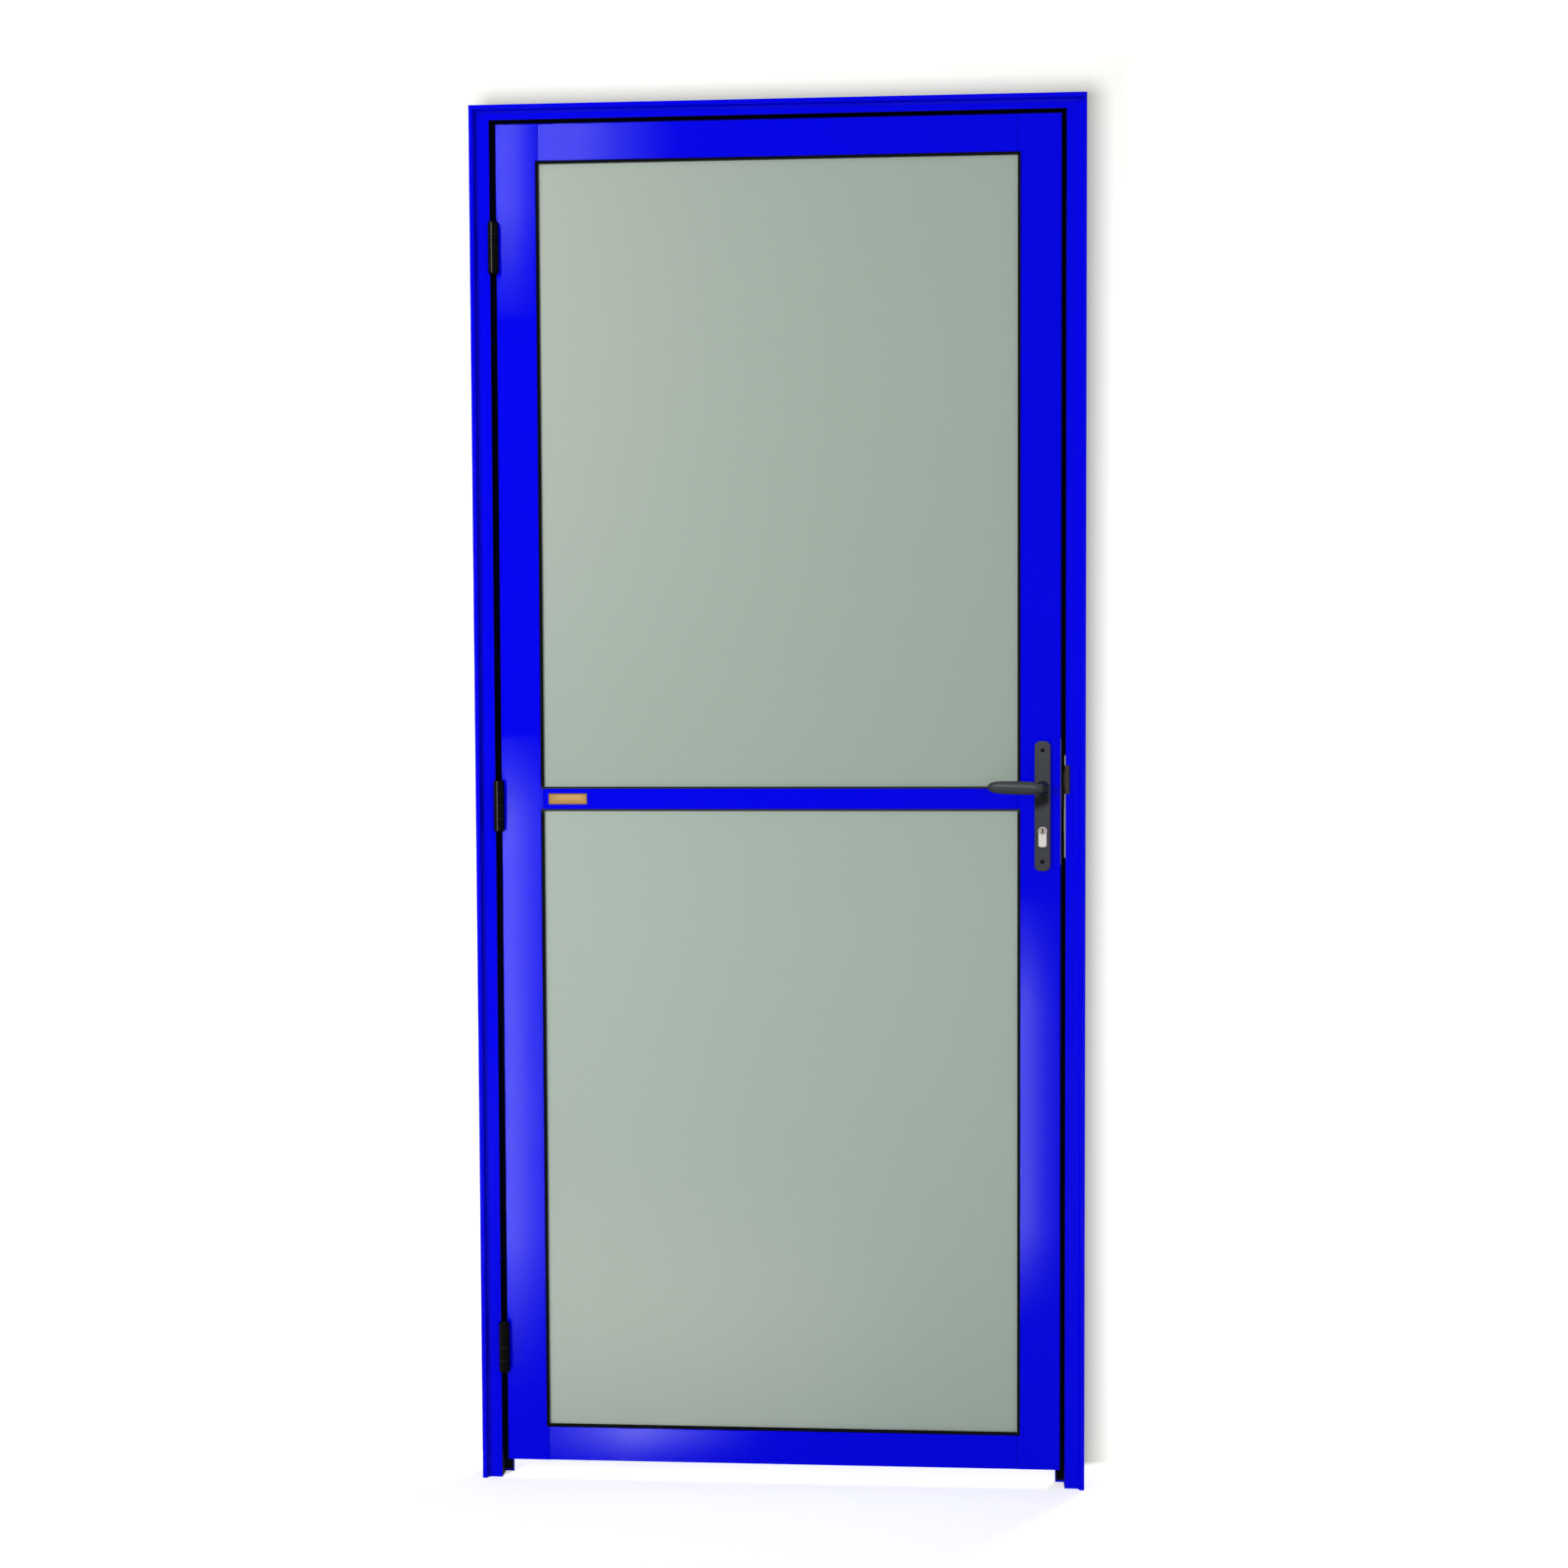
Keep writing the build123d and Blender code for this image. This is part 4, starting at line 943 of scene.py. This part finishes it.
def stageSheet(name, middle, size, turn, material):
    mesh = bmesh.new()
    bmesh.ops.create_grid(mesh, x_segments=1, y_segments=1, size=0.5)
    bmesh.ops.scale(mesh, vec=(size[0], size[1], 1), verts=mesh.verts)
    bmesh.ops.rotate(mesh, matrix=Matrix.Rotation(math.radians(turn), 3, "X"), verts=mesh.verts)
    bmesh.ops.translate(mesh, vec=middle, verts=mesh.verts)
    data = bpy.data.meshes.new(name)
    mesh.to_mesh(data)
    mesh.free()
    sheet = bpy.data.objects.new(name, data)
    data.materials.append(material)
    bpy.context.scene.collection.objects.link(sheet)
    return sheet


def middleAndSpan(limits):
    return sum(limits) / 2, limits[1] - limits[0]


stageWhites = {name: stageMaterial(name, **values) for name, values in stageLooks.items()}
wallX, wallWidth = middleAndSpan(stageSizes["wallX"])
wallTop = stageSizes["wallTop"]
wallMiddle = (wallX, stageSizes["wallY"], wallTop / 2)
backdrop = stageSheet("backdrop", wallMiddle, (wallWidth, wallTop), 90, stageWhites["wallWhite"])
floorX, floorWidth = middleAndSpan(stageSizes["floorX"])
floorY, floorDepth = middleAndSpan(stageSizes["floorY"])
stageSheet("floor", (floorX, floorY, 0), (floorWidth, floorDepth), 0, stageWhites["floorWhite"])
backdrop.visible_shadow = False
backdrop.visible_diffuse = False
print("floor and backdrop laid")

# lamps

lampSizes = {
    "key": {"place": (-1.7, -3.1, 1.8), "aim": (0.47, 0, 0.95),
        "size": (0.9, 0.9), "radiance": 37.0},
    "fill": {"place": (1.6, -4.2, 1.6), "aim": (0.47, 0, 1.1),
        "size": (2.4, 2.4), "radiance": 1.4},
    "hardwareKey": {"place": (0.62, -3.0, 2.5), "aim": (0.882, 0, 1.1),
        "size": (0.5, 0.5), "radiance": 272.0},
    "rearHardwareKey": {"place": (0.3, 3.0, 2.7), "aim": (0.882, 0, 1.1),
        "size": (1.1, 1.1), "radiance": 60.0},
    "rear": {"place": (2.4, 3.0, 3.2), "aim": (0.47, 0, 1.1),
        "size": (1.2, 1.2), "radiance": 22.0},
    "wallShadow": {"place": (0.08, -3.4, 0.98), "aim": (0.08, 0, 0.98),
        "size": (1.30, 1.14), "radiance": 89.0},
}


def lamp(name, place, aim, size, radiance, colour=(1, 1, 1)):
    data = bpy.data.lights.new(name, "AREA")
    data.shape = "RECTANGLE"
    data.size = size[0]
    data.size_y = size[1]
    data.energy = radiance * math.pi * size[0] * size[1]  # makes its face that bright
    data.color = colour
    lampObject = bpy.data.objects.new(name, data)
    lampObject.location = place
    lampObject.rotation_euler = (Vector(aim) - Vector(place)).to_track_quat("-Z", "Y").to_euler()
    lampObject.visible_camera = False
    bpy.context.scene.collection.objects.link(lampObject)
    return lampObject


def lightOnly(lampObject, names, objects=()):
    group = bpy.data.collections.new(lampObject.name + "Receivers")
    for name in names:
        group.objects.link(nodes[name])
    for thing in objects:
        group.objects.link(thing)
    lampObject.light_linking.receiver_collection = group


def skipping(name, things):
    group = bpy.data.collections.new(name)
    for thing in things:
        group.objects.link(thing)
    for member in group.collection_objects:
        member.light_linking.link_state = "EXCLUDE"
    return group


lamps = {name: lamp(name, **values) for name, values in lampSizes.items()}
frontHardware = [nodes["front_backplate"], nodes["plate_screws"], frontLever, frontBush]
lamps["rear"].light_linking.receiver_collection = skipping("rearSkips", [backdrop])
lamps["fill"].light_linking.receiver_collection = skipping("fillSkips", [backdrop, *frontHardware])
lamps["key"].light_linking.receiver_collection = skipping("keySkips", [backdrop, *frontHardware])
keyPasses = [frontLever, *[nodes[name] for name in hingeWings]]
lamps["key"].light_linking.blocker_collection = skipping("keyShadowSkips", keyPasses)
lightOnly(lamps["hardwareKey"], [], frontHardware)
lightOnly(lamps["rearHardwareKey"], ["rear_backplate"], [rearLever, rearBush])
lightOnly(lamps["wallShadow"], [], [backdrop])
for name in ("key", "fill", "wallShadow"):
    lamps[name].visible_glossy = False

# soft boxes that only show as reflections, one for each highlight: each fills a patch of the
# leaf's face, given as x and z limits. A fade is the share left at a side, and how far in from
# there the box is full again.
mirrored = {
    "upperStile": {"patch": (0.02, 0.132, 1.828, 2.20), "away": 0.6, "radiance": 25.5,
        "on": ["hinge_stile"],
        "fades": {"right": (0, 0.58), "low": (0.3, 0.45)}},
    "topRail": {"patch": (0.08, 0.347, 2.04, 2.20), "away": 2.0, "radiance": 25.5,
        "on": ["top_rail"],
        "fades": {"right": (0, 0.65)}},
    "lowerStile": {"patch": (0.02, 0.156, 0.10, 1.1755), "away": 0.25, "radiance": 33.0,
        "on": ["hinge_stile"],
        "fades": {"right": (0, 0.74), "high": (0.33, 0.117), "low": (0, 0.26)}},
    "lockStile": {"patch": (0.83, 0.926, 0.246, 0.927), "away": 0.35, "radiance": 26.0,
        "on": ["lock_stile"],
        "fades": {"right": (0, 0.74), "high": (0.24, 0.237), "low": (0, 0.237)}},
    "upperPane": {"patch": (-0.7, 0.1, 1.35, 2.75), "away": 2.0, "radiance": 9.0,
        "on": ["upper_glass"],
        "colour": (1.0, 0.8, 0.75)},
    "lowerPane": {"patch": (-0.7, 0.1, 0.46, 1.35), "away": 2.0, "radiance": 7.5,
        "on": ["lower_glass"],
        "colour": (1.0, 0.84, 0.8)},
    "lowerPaneWide": {"patch": (0.1, 1.3, 0.3, 1.3), "away": 1.2, "radiance": 0.7,
        "on": ["lower_glass"]},
    "lowerPaneFoot": {"patch": (-0.35, 0.6, 0.19, 0.37), "away": 0.6, "radiance": 4.6,
        "on": ["lower_glass"],
        "colour": (1.0, 0.84, 0.8)},
}
fadePower = 2.2  # makes a fade look even to the eye
lowestBox = 0.01  # keeps the boxes above the floor


def fadeLamp(box, fades):
    # across the lamp's own face, u runs from left to right and v from low to high
    box.data.use_nodes = True
    tree = box.data.node_tree
    apart = addNode(tree, "ShaderNodeSeparateXYZ")
    feed(tree, addNode(tree, "ShaderNodeNewGeometry").outputs["Parametric"], apart.inputs[0])
    u, v = apart.outputs["X"], apart.outputs["Y"]
    fromRight, fromTop = calc(tree, "SUBTRACT", 1.0, u), calc(tree, "SUBTRACT", 1.0, v)
    inward = {"left": u, "right": fromRight, "low": v, "high": fromTop}
    share = 1.0
    for side, (least, width) in fades.items():
        ramp = calc(tree, "DIVIDE", inward[side], width, clamp=True)
        share = calc(tree, "MULTIPLY", share, blendValue(tree, ramp, least, 1.0))
    feed(tree, calc(tree, "POWER", share, fadePower), tree.nodes["Emission"].inputs["Strength"])


def mirrorLamp(name, patch, away, radiance, on, colour=(1, 1, 1), fades=None):
    # the camera sees the box mirrored in the patch, and the box is larger as it stands further off
    eye = Vector(view["place"])
    share = -eye.y / (away - eye.y)
    left, right = [eye.x + (x - eye.x) / share for x in patch[:2]]
    low, high = [max(lowestBox, eye.z + (z - eye.z) / share) for z in patch[2:]]
    place = ((left + right) / 2, -away, (low + high) / 2)
    box = lamp(name, place, (place[0], 0, place[2]), (right - left, high - low), radiance, colour)
    box.visible_diffuse = False
    lightOnly(box, on)
    if fades:
        fadeLamp(box, fades)


for name, values in mirrored.items():
    mirrorLamp(name, **values)

# a strip lying on the floor is mirrored in the bottom rail, and a tall one draws the line down
# each hinge
strips = {
    "floorStrip": {"place": (0.2115, -0.165, 0.004), "aim": (0.2115, -0.165, 1.0),
        "size": (0.503, 0.27), "radiance": 46.0},
    "hingeStrip": {"place": (-1.45, -2.6, 1.5), "aim": (0.04, 0, 1.5),
        "size": (0.24, 2.9), "radiance": 190.0, "colour": (1.0, 0.9, 0.82)},
}
floorFades = {"left": (0, 0.51), "right": (0, 0.49), "low": (0.25, 0.644)}
for name, members in (("floorStrip", ["bottom_rail"]), ("hingeStrip", hingeWings)):
    lamps[name] = lamp(name, **strips[name])
    lamps[name].visible_diffuse = False
    lightOnly(lamps[name], members)
lamps["floorStrip"].rotation_euler = (math.pi, 0, 0)  # flat, shining up
fadeLamp(lamps["floorStrip"], floorFades)

# world: dim light all round, white where it is seen
ambient = {"strength": 0.38, "colour": (1, 1, 1)}
world = bpy.data.worlds.new("studio")
bpy.context.scene.world = world
world.use_nodes = True
tree = world.node_tree
background = tree.nodes["Background"]
background.inputs["Color"].default_value = rgba(ambient["colour"])
strength = blendValue(tree, seenDirectly(tree), ambient["strength"], 1.0)
feed(tree, strength, background.inputs["Strength"])

bpy.context.scene.view_settings.view_transform = "Standard"
print("lights and camera placed")
